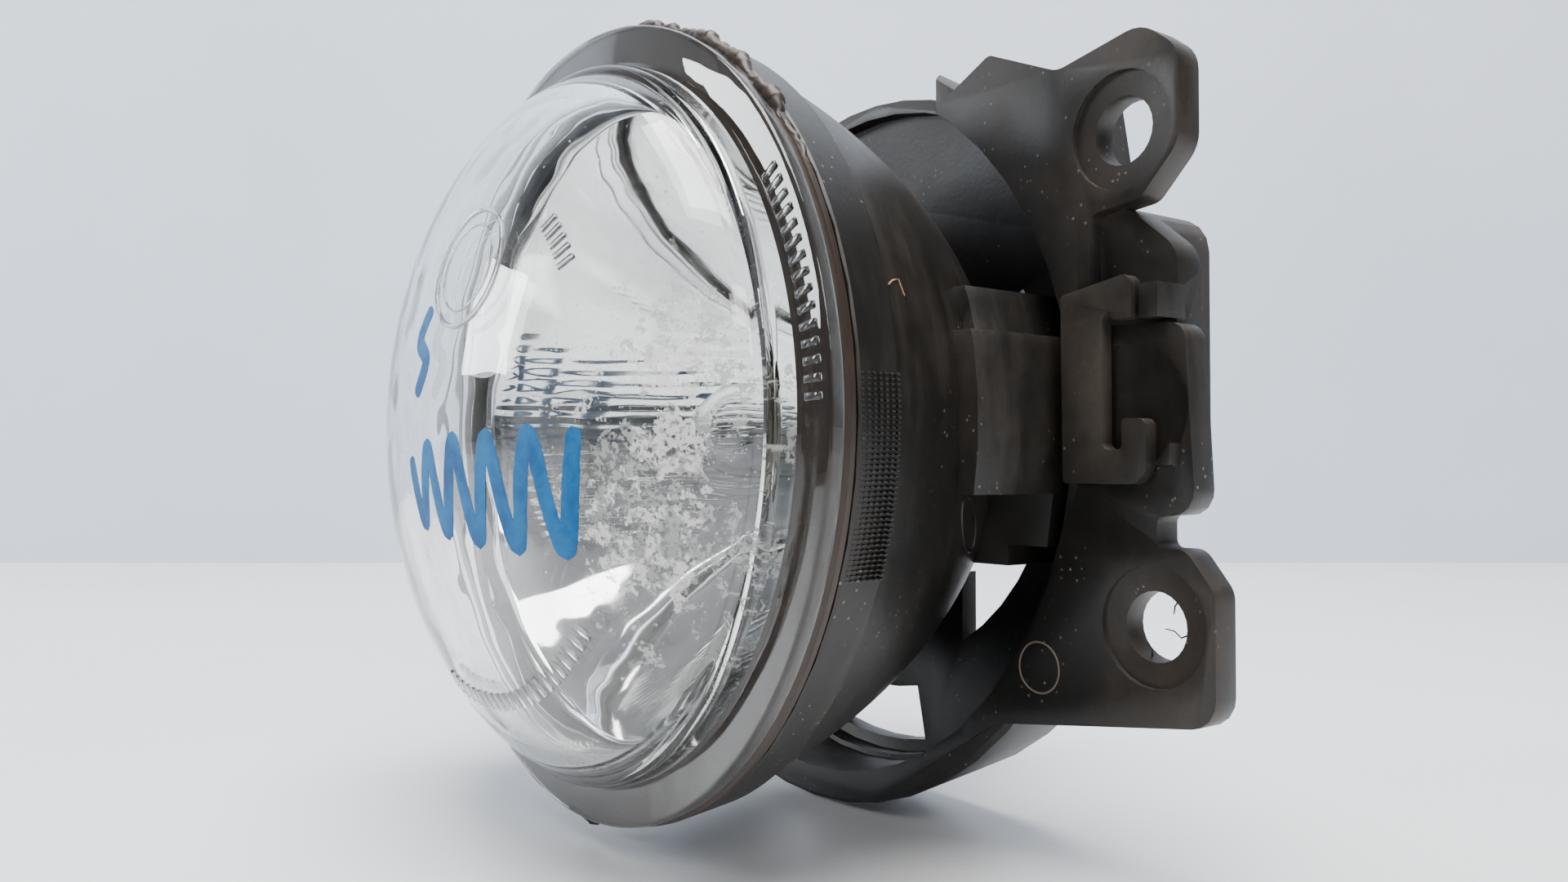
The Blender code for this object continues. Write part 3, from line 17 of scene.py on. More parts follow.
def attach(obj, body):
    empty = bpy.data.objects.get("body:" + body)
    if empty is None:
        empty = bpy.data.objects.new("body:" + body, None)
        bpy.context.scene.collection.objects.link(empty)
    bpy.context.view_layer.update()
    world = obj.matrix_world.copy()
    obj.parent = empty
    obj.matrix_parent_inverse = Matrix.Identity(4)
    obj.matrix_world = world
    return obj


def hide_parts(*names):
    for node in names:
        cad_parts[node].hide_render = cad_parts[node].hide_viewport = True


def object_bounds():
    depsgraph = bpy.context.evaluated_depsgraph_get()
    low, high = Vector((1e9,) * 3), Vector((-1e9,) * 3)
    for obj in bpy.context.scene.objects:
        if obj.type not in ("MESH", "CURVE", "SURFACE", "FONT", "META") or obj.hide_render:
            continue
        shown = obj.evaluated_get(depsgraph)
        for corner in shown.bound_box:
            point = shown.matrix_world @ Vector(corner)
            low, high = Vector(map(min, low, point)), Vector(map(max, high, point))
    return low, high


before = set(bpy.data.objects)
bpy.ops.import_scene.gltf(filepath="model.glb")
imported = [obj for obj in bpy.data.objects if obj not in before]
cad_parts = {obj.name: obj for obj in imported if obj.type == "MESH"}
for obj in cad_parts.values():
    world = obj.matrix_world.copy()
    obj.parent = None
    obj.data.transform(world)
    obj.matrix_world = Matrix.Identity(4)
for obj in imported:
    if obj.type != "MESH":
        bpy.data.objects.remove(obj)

CAD_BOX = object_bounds()
MM = 0.001
UPWARD = "upward"
WELD = 0.0008 * MM
CAD_WELD = 0.001 * MM
ROUNDED_PAST = math.radians(38.0)
ROUNDING_FACES = 2
FLAT_WITHIN = math.radians(0.6)
log = logging.getLogger("fog_lamp")

Colour = tuple[float, float, float]
Outline = list[tuple[float, float]]


def paint(red: int, green: int, blue: int) -> Colour:
    """Turn a display colour of 0 to 255 into the linear one that a shader wants.

    Args:
        red, green, blue: The display values.

    Returns:
        The linear colour.
    """
    parts = []
    for value in (red, green, blue):
        share = value / 255
        parts.append(share / 12.92 if share <= 0.04045 else ((share + 0.055) / 1.055) ** 2.4)
    return parts[0], parts[1], parts[2]


def smooth(share: float) -> float:
    """Ease a share from 0 to 1."""
    share = min(1.0, max(0.0, share))
    return share * share * (3 - 2 * share)


class Body(Enum):
    """The frame's moving bodies."""

    CARRIER = "carrier"
    LAMP = "lamp"
    ADJUSTER = "adjuster"
    BULB = "bulb"


class Side(Enum):
    """Which side of the lamp a pivot is on."""

    RIGHT = "right"
    LEFT = "left"


# ---------------------------------------------------------------- node trees


class Field:
    """A number in a node tree that can be used in plain arithmetic."""

    def __init__(self, tree: "Tree", socket: bpy.types.NodeSocket) -> None:
        """Wrap a socket of a tree."""
        self.tree = tree
        self.socket = socket

    def __add__(self, other: "Field | float") -> "Field":
        """Add."""
        return self.tree.maths("ADD", self, other)

    def __radd__(self, other: float) -> "Field":
        """Add, reflected."""
        return self.tree.maths("ADD", other, self)

    def __sub__(self, other: "Field | float") -> "Field":
        """Subtract."""
        return self.tree.maths("SUBTRACT", self, other)

    def __rsub__(self, other: float) -> "Field":
        """Subtract, reflected."""
        return self.tree.maths("SUBTRACT", other, self)

    def __mul__(self, other: "Field | float") -> "Field":
        """Multiply."""
        return self.tree.maths("MULTIPLY", self, other)

    def __rmul__(self, other: float) -> "Field":
        """Multiply, reflected."""
        return self.tree.maths("MULTIPLY", other, self)

    def __truediv__(self, other: "Field | float") -> "Field":
        """Divide."""
        return self.tree.maths("DIVIDE", self, other)

    def whole(self) -> "Field":
        """Round down."""
        return self.tree.maths("FLOOR", self, 0.0)

    def cosine(self) -> "Field":
        """Take the cosine."""
        return self.tree.maths("COSINE", self, 0.0)

    def sine(self) -> "Field":
        """Take the sine."""
        return self.tree.maths("SINE", self, 0.0)

    def step(self, low: float, high: float) -> "Field":
        """Rise smoothly from 0 at one value to 1 at another.

        Args:
            low: Where it starts to rise.
            high: Where it reaches 1.

        Returns:
            The result.
        """
        node = self.tree.node(
            "ShaderNodeMapRange",
            {"interpolation_type": "SMOOTHSTEP"},
            {0: self, 1: low, 2: high, 3: 0.0, 4: 1.0},
        )
        return Field(self.tree, node.outputs[0])


class Tree:
    """A node tree that is filled from Python."""

    def __init__(self, tree: bpy.types.NodeTree) -> None:
        """Wrap a node tree."""
        self.tree = tree

    def node(self, kind: str, settings: dict, inputs: dict) -> bpy.types.Node:
        """Add a node, set it up, then give its sockets their values or links.

        Args:
            kind: The node's type.
            settings: Its own settings; "stops" are a ramp's (place, colour) pairs.
            inputs: Socket names or numbers, each with a value, a socket or a Field.

        Returns:
            The node.
        """
        node = self.tree.nodes.new(kind)
        for name, value in settings.items():
            if name == "stops":
                ramp = node.color_ramp.elements
                while len(ramp) < len(value):
                    ramp.new(0.5)
                for element, (place, colour) in zip(ramp, value):
                    element.position = place
                    element.color = (*colour, 1.0)
            else:
                setattr(node, name, value)
        for key, value in inputs.items():
            self.feed(node.inputs[key], value)
        return node

    def feed(self, socket: bpy.types.NodeSocket, value: object) -> None:
        """Link or set one socket.

        Args:
            socket: The socket that takes the value.
            value: A Field, a socket or a plain value.
        """
        if isinstance(value, Field):
            value = value.socket
        if isinstance(value, bpy.types.NodeSocket):
            self.tree.links.new(value, socket)
        else:
            socket.default_value = value

    def maths(self, operation: str, first: Field | float, second: Field | float) -> Field:
        """Add one Math node."""
        node = self.node("ShaderNodeMath", {"operation": operation}, {0: first, 1: second})
        return Field(self, node.outputs[0])


class Coat(Tree):
    """A material's tree, with the patterns that the finishes share."""

    def __init__(self, name: str) -> None:
        """Start a material with its Principled shader.

        Args:
            name: The material's name.
        """
        self.material = bpy.data.materials.new(name)
        self.material.use_nodes = True
        super().__init__(self.material.node_tree)
        self.shader = self.tree.nodes["Principled BSDF"]
        self.out = self.tree.nodes["Material Output"]
        self.place = self.node("ShaderNodeTexCoord", {}, {}).outputs["Object"]

    def set(self, **values: object) -> None:
        """Give the Principled shader its values."""
        for name, value in values.items():
            self.feed(self.shader.inputs[name.replace("_", " ")], value)

    def stretched(self, scale: Sequence[float], turn: Sequence[float] = (0, 0, 0)) -> bpy.types.NodeSocket:
        """Stretch and turn the object's coordinates."""
        node = self.node("ShaderNodeMapping", {}, {"Vector": self.place, "Scale": scale, "Rotation": turn})
        return node.outputs[0]

    def cloud(self, scale: float, detail: float = 4.0, place: bpy.types.NodeSocket | None = None) -> Field:
        """Return soft noise from 0 to 1."""
        inputs = {"Vector": place or self.place, "Scale": scale, "Detail": detail, "Roughness": 0.6}
        return Field(self, self.node("ShaderNodeTexNoise", {}, inputs).outputs[0])

    def specks(self, scale: float, reach: float) -> Field:
        """Return small round spots, 1 inside each and 0 around it."""
        node = self.node("ShaderNodeTexVoronoi", {}, {"Vector": self.place, "Scale": scale})
        return 1.0 - Field(self, node.outputs["Distance"]).step(reach * 0.6, reach)

    def part(self, vector: bpy.types.NodeSocket, axis: int) -> Field:
        """Take one part of a vector."""
        return Field(self, self.node("ShaderNodeSeparateXYZ", {}, {0: vector}).outputs[axis])

    def upward(self) -> Field:
        """Return how far the surface faces up at rest."""
        node = self.node("ShaderNodeAttribute", {"attribute_name": UPWARD}, {})
        return Field(self, node.outputs["Fac"])

    def blend(self, share: Field, first: object, second: object) -> bpy.types.NodeSocket:
        """Mix two colours, the first where the share is 0.

        Args:
            share: How much of the second.
            first, second: Colours or colour sockets.

        Returns:
            The mixed colour's socket.
        """
        ends = [(*c, 1.0) if isinstance(c, tuple) else c for c in (first, second)]
        node = self.node("ShaderNodeMix", {"data_type": "RGBA"}, {0: share, 6: ends[0], 7: ends[1]})
        return node.outputs[2]

    def bump(self, height: Field, depth: float) -> bpy.types.NodeSocket:
        """Return a normal that is raised by a height."""
        node = self.node("ShaderNodeBump", {}, {"Strength": 1.0, "Distance": depth, "Height": height})
        return node.outputs[0]


# ---------------------------------------------------------------- finishes


@dataclass(frozen=True)
class Moulding:
    """Moulded plastic or rubber with grain, dust and scuffs."""

    name: str
    colour: Colour
    dust: Colour = paint(118, 104, 90)
    dustiness: float = 0.5
    roughness: float = 0.5
    grain: float = 0.02 * MM
    waviness: float = 0.05 * MM
    specks: float = 0.0

    def make(self) -> bpy.types.Material:
        """Make the material.

        Returns:
            The material.
        """
        coat = Coat(self.name)
        broad = coat.cloud(70.0, 5.0)
        fine = coat.cloud(1500.0, 3.0)
        streaks = coat.cloud(60.0, 5.0, coat.stretched((1.0, 4.5, 0.6), (0.2, 0.1, 0.3)))
        settled = coat.upward().step(0.1, 1.0) * 0.35
        film = (broad * 0.5 + streaks * 0.5).step(0.44, 0.64) * (0.3 + fine * 0.8)
        dust = (film * 0.7 + settled * broad) * self.dustiness
        rubbed = streaks.step(0.58, 0.75) * 0.5
        base = coat.blend(rubbed, self.colour, tuple(part * 1.7 + 0.004 for part in self.colour))
        coloured = coat.blend(dust, base, self.dust)
        if self.specks:
            spots = coat.specks(900.0, 0.17) * coat.cloud(90.0, 3.0).step(0.5, 0.62) * self.specks
            coloured = coat.blend(spots, coloured, paint(168, 158, 144))
        coat.set(
            Base_Color=coloured,
            Roughness=self.roughness + dust * 0.35 - rubbed * 0.16,
            Normal=coat.bump(fine * self.grain / MM + coat.cloud(240.0, 3.0) * self.waviness / MM, MM),
        )
        return coat.material


@dataclass(frozen=True)
class ClearGlass:
    """Clear pressed glass, ripple and pitting included.

    The pitting fades out as the squared distance from the lamp's axis, in mm2, passes through dome_edge.
    """

    name: str
    tint: Colour = (0.975, 0.99, 0.985)
    pitting: float = 0.0
    pit_centre: tuple[float, float] = (0.0, 0.0)
    pit_reach: tuple[float, float] = (17 * MM, 24 * MM)
    dome_edge: tuple[float, float] = (1330.0, 1420.0)
    ripple: float = 0.0

    def make(self) -> bpy.types.Material:
        """Make the material.

        Returns:
            The material.
        """
        coat = Coat(self.name)
        coat.set(Base_Color=(*self.tint, 1.0), Transmission_Weight=1.0, IOR=1.5)
        haze = coat.cloud(500.0, 4.0)
        coat.set(Roughness=haze.step(0.55, 0.8) * 0.05 + 0.004)
        if self.ripple:
            coat.set(Normal=coat.bump(coat.cloud(110.0, 1.0), self.ripple))
        if self.pitting:
            x, z = coat.part(coat.place, 0), coat.part(coat.place, 2)
            across = (x - self.pit_centre[0]) * (1 / self.pit_reach[0])
            up = (z - self.pit_centre[1]) * (1 / self.pit_reach[1])
            square = (x * x + z * z) * (1 / (MM * MM))
            on_dome = 1.0 - square.step(*self.dome_edge)
            near = (1.0 - (across * across + up * up).step(0.05, 1.1)) * on_dome
            ragged = coat.cloud(620.0, 9.0) * 0.55 + coat.cloud(130.0, 6.0) * 0.45
            edge = ragged - near * 0.085
            patches = (1.0 - edge.step(0.392, 0.41)) * near * coat.cloud(1900.0, 2.0).step(0.38, 0.52)
            pits = coat.specks(1500.0, 0.2) * coat.cloud(60.0, 4.0).step(0.42, 0.6) * on_dome
            scatter = coat.specks(420.0, 0.075) * on_dome
            film = coat.cloud(70.0, 5.0).step(0.4, 0.75) * coat.cloud(2200.0, 3.0) * on_dome * 0.24
            fleck = (patches * 0.85 + pits * (0.3 + near * 0.4) + scatter * 0.6 + film) * self.pitting
            white = coat.node("ShaderNodeBsdfDiffuse", {}, {"Color": (0.72, 0.72, 0.70, 1.0)})
            mixed = coat.node(
                "ShaderNodeMixShader",
                {},
                {0: coat.maths("MINIMUM", fleck, 0.85), 1: coat.shader.outputs[0], 2: white.outputs[0]},
            )
            coat.feed(coat.out.inputs["Surface"], mixed.outputs[0])
        return coat.material


@dataclass(frozen=True)
class Silvering:
    """Vacuum-coated mirror with faint haze and age spots."""

    name: str
    colour: Colour = (0.90, 0.905, 0.91)

    def make(self) -> bpy.types.Material:
        """Make the material.

        Returns:
            The material.
        """
        coat = Coat(self.name)
        haze = coat.cloud(160.0, 5.0).step(0.45, 0.8)
        spots = coat.specks(420.0, 0.14) * coat.cloud(60.0, 3.0).step(0.5, 0.7)
        coat.set(
            Base_Color=coat.blend(haze * 0.18 + spots * 0.4, self.colour, paint(150, 148, 144)),
            Metallic=1.0,
            Roughness=0.035 + haze * 0.06 + spots * 0.2,
        )
        return coat.material


@dataclass(frozen=True)
class Metal:
    """Drawn, turned or plated metal."""

    name: str
    colour: Colour
    roughness: float = 0.32
    stain: Colour = paint(96, 78, 58)

    def make(self) -> bpy.types.Material:
        """Make the material.

        Returns:
            The material.
        """
        coat = Coat(self.name)
        lines = coat.cloud(900.0, 3.0, coat.stretched((1.0, 0.15, 1.0)))
        spots = coat.cloud(420.0, 5.0).step(0.56, 0.72)
        coat.set(
            Base_Color=coat.blend(spots * 0.55, self.colour, self.stain),
            Metallic=1.0 - spots * 0.35,
            Roughness=self.roughness + lines * 0.14 + spots * 0.2,
            Normal=coat.bump(lines, 0.006 * MM),
        )
        return coat.material


@dataclass(frozen=True)
class Marker:
    """Dried marker ink, uneven along its strokes."""

    name: str
    colour: Colour = paint(0, 98, 152)

    def make(self) -> bpy.types.Material:
        """Make the material.

        Returns:
            The material.
        """
        coat = Coat(self.name)
        patchy = coat.cloud(260.0, 4.0)
        coat.set(
            Base_Color=coat.blend(patchy.step(0.35, 0.75), self.colour, paint(0, 66, 122)),
            Roughness=0.5 + patchy * 0.2,
            Specular_IOR_Level=0.25,
        )
        return coat.material


@dataclass(frozen=True)
class Felt:
    """Pressed fibre of the vent's filter."""

    name: str
    colour: Colour = paint(222, 220, 212)

    def make(self) -> bpy.types.Material:
        """Make the material.

        Returns:
            The material.
        """
        coat = Coat(self.name)
        fibres = coat.cloud(3200.0, 6.0, coat.stretched((1.0, 1.0, 0.4), (0.4, 0.2, 0.7)))
        coat.set(
            Base_Color=coat.blend(fibres, self.colour, paint(170, 166, 156)),
            Roughness=0.9,
            Normal=coat.bump(fibres, 0.05 * MM),
        )
        return coat.material


# ---------------------------------------------------------------- meshes


def mesh_piece(name: str, corners: list, faces: list, sharp: float = 32.0) -> bpy.types.Object:
    """Make a piece from corners and faces, welded and turned outward.

    Args:
        name: The piece's name.
        corners: Its corners.
        faces: Its faces, as corner numbers.
        sharp: The angle in degrees past which an edge stays sharp.

    Returns:
        The piece, at the origin.
    """
    mesh = bpy.data.meshes.new(name)
    mesh.from_pydata(corners, [], faces)
    return finished_piece(name, mesh, sharp)


def finished_piece(name: str, mesh: bpy.types.Mesh, sharp: float = 32.0) -> bpy.types.Object:
    """Weld a mesh, turn its faces outward, shade it and hang it in the scene.

    Args:
        name: The piece's name.
        mesh: Its mesh.
        sharp: The angle in degrees past which an edge stays sharp.

    Returns:
        The piece, at the origin.
    """
    shape = bmesh.new()
    shape.from_mesh(mesh)
    bmesh.ops.remove_doubles(shape, verts=shape.verts, dist=WELD)
    bmesh.ops.recalc_face_normals(shape, faces=shape.faces)
    shape.to_mesh(mesh)
    shape.free()
    mesh.shade_smooth()
    mesh.set_sharp_from_angle(angle=math.radians(sharp))
    piece = bpy.data.objects.new(name, mesh)
    bpy.context.scene.collection.objects.link(piece)
    return piece


def turned(
    name: str,
    profile: Outline,
    steps: int,
    loop: bool = False,
    relief: Callable[[int, float, float, float], float] | None = None,
) -> bpy.types.Object:
    """Turn a profile about the lamp's axis.

    Args:
        name: The piece's name.
        profile: (radius, y) points; an open profile starts and ends on the axis.
        steps: How many sides it has.
        loop: Whether the profile closes on itself.
        relief: Gives a shift along y for a profile point's number, x, z and radius.

    Returns:
        The turned piece.
    """
    corners, faces = [], []
    for index, (radius, y) in enumerate(profile):
        for side in range(steps):
            turn = math.tau * side / steps
            x, z = radius * math.cos(turn), radius * math.sin(turn)
            corners.append((x, y + (relief(index, x, z, radius) if relief else 0.0), z))
    rows = len(profile) if loop else len(profile) - 1
    for row in range(rows):
        after = (row + 1) % len(profile)
        for side in range(steps):
            other = (side + 1) % steps
            here, there = row * steps, after * steps
            faces.append((here + side, here + other, there + other, there + side))
    return mesh_piece(name, corners, faces)


def tube(
    name: str, path: list[Vector], radii: Sequence[float], sides: int = 8, closed: bool = False
) -> bpy.types.Object:
    """Lay a round bead of changing thickness along a path.

    Args:
        name: The piece's name.
        path: The points it follows.
        radii: Its radius at each point.
        sides: How many sides it has.
        closed: Whether its ends meet.

    Returns:
        The bead.
    """
    corners, faces = [], []
    count = len(path)
    side_way = Vector((0, 1, 0))
    for index, (point, radius) in enumerate(zip(path, radii)):
        before = path[index - 1] if index or closed else path[0]
        after = path[(index + 1) % count] if index < count - 1 or closed else path[-1]
        along = (after - before).normalized()
        if abs(along.dot(side_way)) > 0.98:
            side_way = Vector((1, 0, 0))
        across = along.cross(side_way).normalized()
        upward = across.cross(along).normalized()
        for side in range(sides):
            turn = math.tau * side / sides
            corners.append(point + (across * math.cos(turn) + upward * math.sin(turn)) * radius)
    for index in range(count if closed else count - 1):
        here, there = index * sides, (index + 1) % count * sides
        for side in range(sides):
            other = (side + 1) % sides
            faces.append((here + side, here + other, there + other, there + side))
    if not closed:
        faces += [tuple(range(sides)), tuple((count - 1) * sides + side for side in range(sides))]
    return mesh_piece(name, [tuple(corner) for corner in corners], faces, 60.0)


def softened(node: str, name: str, width: float) -> bpy.types.Object:
    """Copy a CAD node's shape and round its edges.

    Args:
        node: The node.
        name: The new piece's name.
        width: How wide the rounding is, 0 for none.

    Returns:
        The piece.
    """
    shape = bmesh.new()
    shape.from_mesh(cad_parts[node].data)
    bmesh.ops.remove_doubles(shape, verts=shape.verts, dist=CAD_WELD)
    bmesh.ops.dissolve_limit(shape, angle_limit=FLAT_WITHIN, verts=shape.verts, edges=shape.edges)
    mesh = bpy.data.meshes.new(name)
    shape.to_mesh(mesh)
    shape.free()
    worker = bpy.data.objects.new(name + "_work", mesh)
    bpy.context.scene.collection.objects.link(worker)
    if width > 0:
        bevel = worker.modifiers.new("soft_edges", "BEVEL")
        bevel.width = width
        bevel.segments = ROUNDING_FACES
        bevel.limit_method = "ANGLE"
        bevel.angle_limit = ROUNDED_PAST
        bevel.use_clamp_overlap = True
        bevel.miter_outer = "MITER_ARC"
    bpy.context.view_layer.update()
    result = bpy.data.meshes.new_from_object(worker.evaluated_get(bpy.context.evaluated_depsgraph_get()))
    bpy.data.objects.remove(worker, do_unlink=True)
    result.name = name
    return finished_piece(name, result, 40.0)


def place(
    piece: bpy.types.Object,
    material: bpy.types.Material,
    body: Body,
    slot: str,
    stands_for: Sequence[str] = (),
) -> bpy.types.Object:
    """Dress a piece, hang it on its body and hide the CAD nodes that it stands for.

    Args:
        piece: The piece.
        material: Its material.
        body: The body that it moves with.
        slot: Not used.
        stands_for: CAD nodes that it replaces.

    Returns:
        The piece.
    """
    piece.data.materials.clear()
    piece.data.materials.append(material)
    for polygon in piece.data.polygons:
        polygon.material_index = 0
    upward = piece.data.attributes.new(UPWARD, "FLOAT", "CORNER")
    upward.data.foreach_set("value", [normal.vector.z for normal in piece.data.corner_normals])
    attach(piece, body.value)
    if stands_for:
        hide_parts(*stands_for)
    log.info("%s rides on %s, %d faces", piece.name, body.value, len(piece.data.polygons))
    return piece


def show(
    node: str, name: str, width: float, material: bpy.types.Material, body: Body, slot: str
) -> bpy.types.Object:
    """Stand a rounded copy in for a CAD node."""
    return place(softened(node, name, width), material, body, slot, [node])


# ---------------------------------------------------------------- repeated shapes


class ArcRows(Tree):
    """Geometry Nodes that set small blocks in rows round the lamp's axis."""

    COUNTS = ("Count", "Rows")
    SIZES = ("Radius", "Depth", "Start", "Pitch", "Row pitch", "Tilt", "Along", "Deep", "Across")

    def __init__(self) -> None:
        """Build the tree once."""
        group = bpy.data.node_groups.new("arc_rows", "GeometryNodeTree")
        super().__init__(group)
        self.group = group
        self.names: dict[str, str] = {}
        group.interface.new_socket("Geometry", in_out="OUTPUT", socket_type="NodeSocketGeometry")
        for name in self.COUNTS + self.SIZES:
            kind = "NodeSocketInt" if name in self.COUNTS else "NodeSocketFloat"
            self.names[name] = group.interface.new_socket(name, in_out="INPUT", socket_type=kind).identifier
        item = group.interface.new_socket("Finish", in_out="INPUT", socket_type="NodeSocketMaterial")
        self.names["Finish"] = item.identifier
        ends = self.node("NodeGroupInput", {}, {}).outputs
        values = {name: Field(self, ends[name]) for name in self.COUNTS + self.SIZES}
        total = values["Count"] * values["Rows"]
        points = self.node("GeometryNodeMeshLine", {}, {"Count": total, "Offset": (0.0, 0.0, 0.0)})
        number = Field(self, self.node("GeometryNodeInputIndex", {}, {}).outputs[0])
        row = ((number + 0.5) / values["Count"]).whole()
        turn = values["Start"] + (number - row * values["Count"]) * values["Pitch"]
        spot = self.node(
            "ShaderNodeCombineXYZ",
            {},
            {
                0: turn.cosine() * values["Radius"],
                1: values["Depth"] + row * values["Row pitch"],
                2: turn.sine() * values["Radius"],
            },
        )
        ends_at = {"Geometry": points.outputs[0], "Position": spot.outputs[0]}
        moved = self.node("GeometryNodeSetPosition", {}, ends_at)
        block = {0: values["Along"], 1: values["Deep"], 2: values["Across"]}
        size = self.node("ShaderNodeCombineXYZ", {}, block)
        cube = self.node("GeometryNodeMeshCube", {}, {"Size": size.outputs[0]})
        tilt = self.node("ShaderNodeCombineXYZ", {}, {0: 0.0, 1: 0.0, 2: values["Tilt"]})
        lean = {"Geometry": cube.outputs[0], "Rotation": tilt.outputs[0]}
        leant = self.node("GeometryNodeTransform", {}, lean)
        facing = self.node("ShaderNodeCombineXYZ", {}, {0: 0.0, 1: turn * -1.0, 2: 0.0})
        copies = self.node(
            "GeometryNodeInstanceOnPoints",
            {},
            {"Points": moved.outputs[0], "Instance": leant.outputs[0], "Rotation": facing.outputs[0]},
        )
        real = self.node("GeometryNodeRealizeInstances", {}, {"Geometry": copies.outputs[0]})
        coated = self.node(
            "GeometryNodeSetMaterial", {}, {"Geometry": real.outputs[0], "Material": ends["Finish"]}
        )
        self.node("NodeGroupOutput", {}, {"Geometry": coated.outputs[0]})

    def make(self, name: str, finish: bpy.types.Material, soft: float, **sizes: float) -> bpy.types.Object:
        """Make one set of rows as a plain mesh.

        Args:
            name: The piece's name.
            finish: The material that the tree sets.
            soft: How wide the blocks' rounded edges are.
            sizes: The tree's inputs; an underscore in a name stands for a space.

        Returns:
            The piece.
        """
        holder = bpy.data.objects.new(name + "_work", bpy.data.meshes.new(name + "_work"))
        bpy.context.scene.collection.objects.link(holder)
        modifier = holder.modifiers.new("rows", "NODES")
        modifier.node_group = self.group
        for key, value in sizes.items():
            modifier[self.names[key.replace("_", " ")]] = value
        modifier[self.names["Finish"]] = finish
        if soft > 0:
            bevel = holder.modifiers.new("soft", "BEVEL")
            bevel.width = soft
            bevel.segments = ROUNDING_FACES
        bpy.context.view_layer.update()
        mesh = bpy.data.meshes.new_from_object(holder.evaluated_get(bpy.context.evaluated_depsgraph_get()))
        bpy.data.objects.remove(holder, do_unlink=True)
        mesh.name = name
        return finished_piece(name, mesh, 50.0)


# ---------------------------------------------------------------- the lens


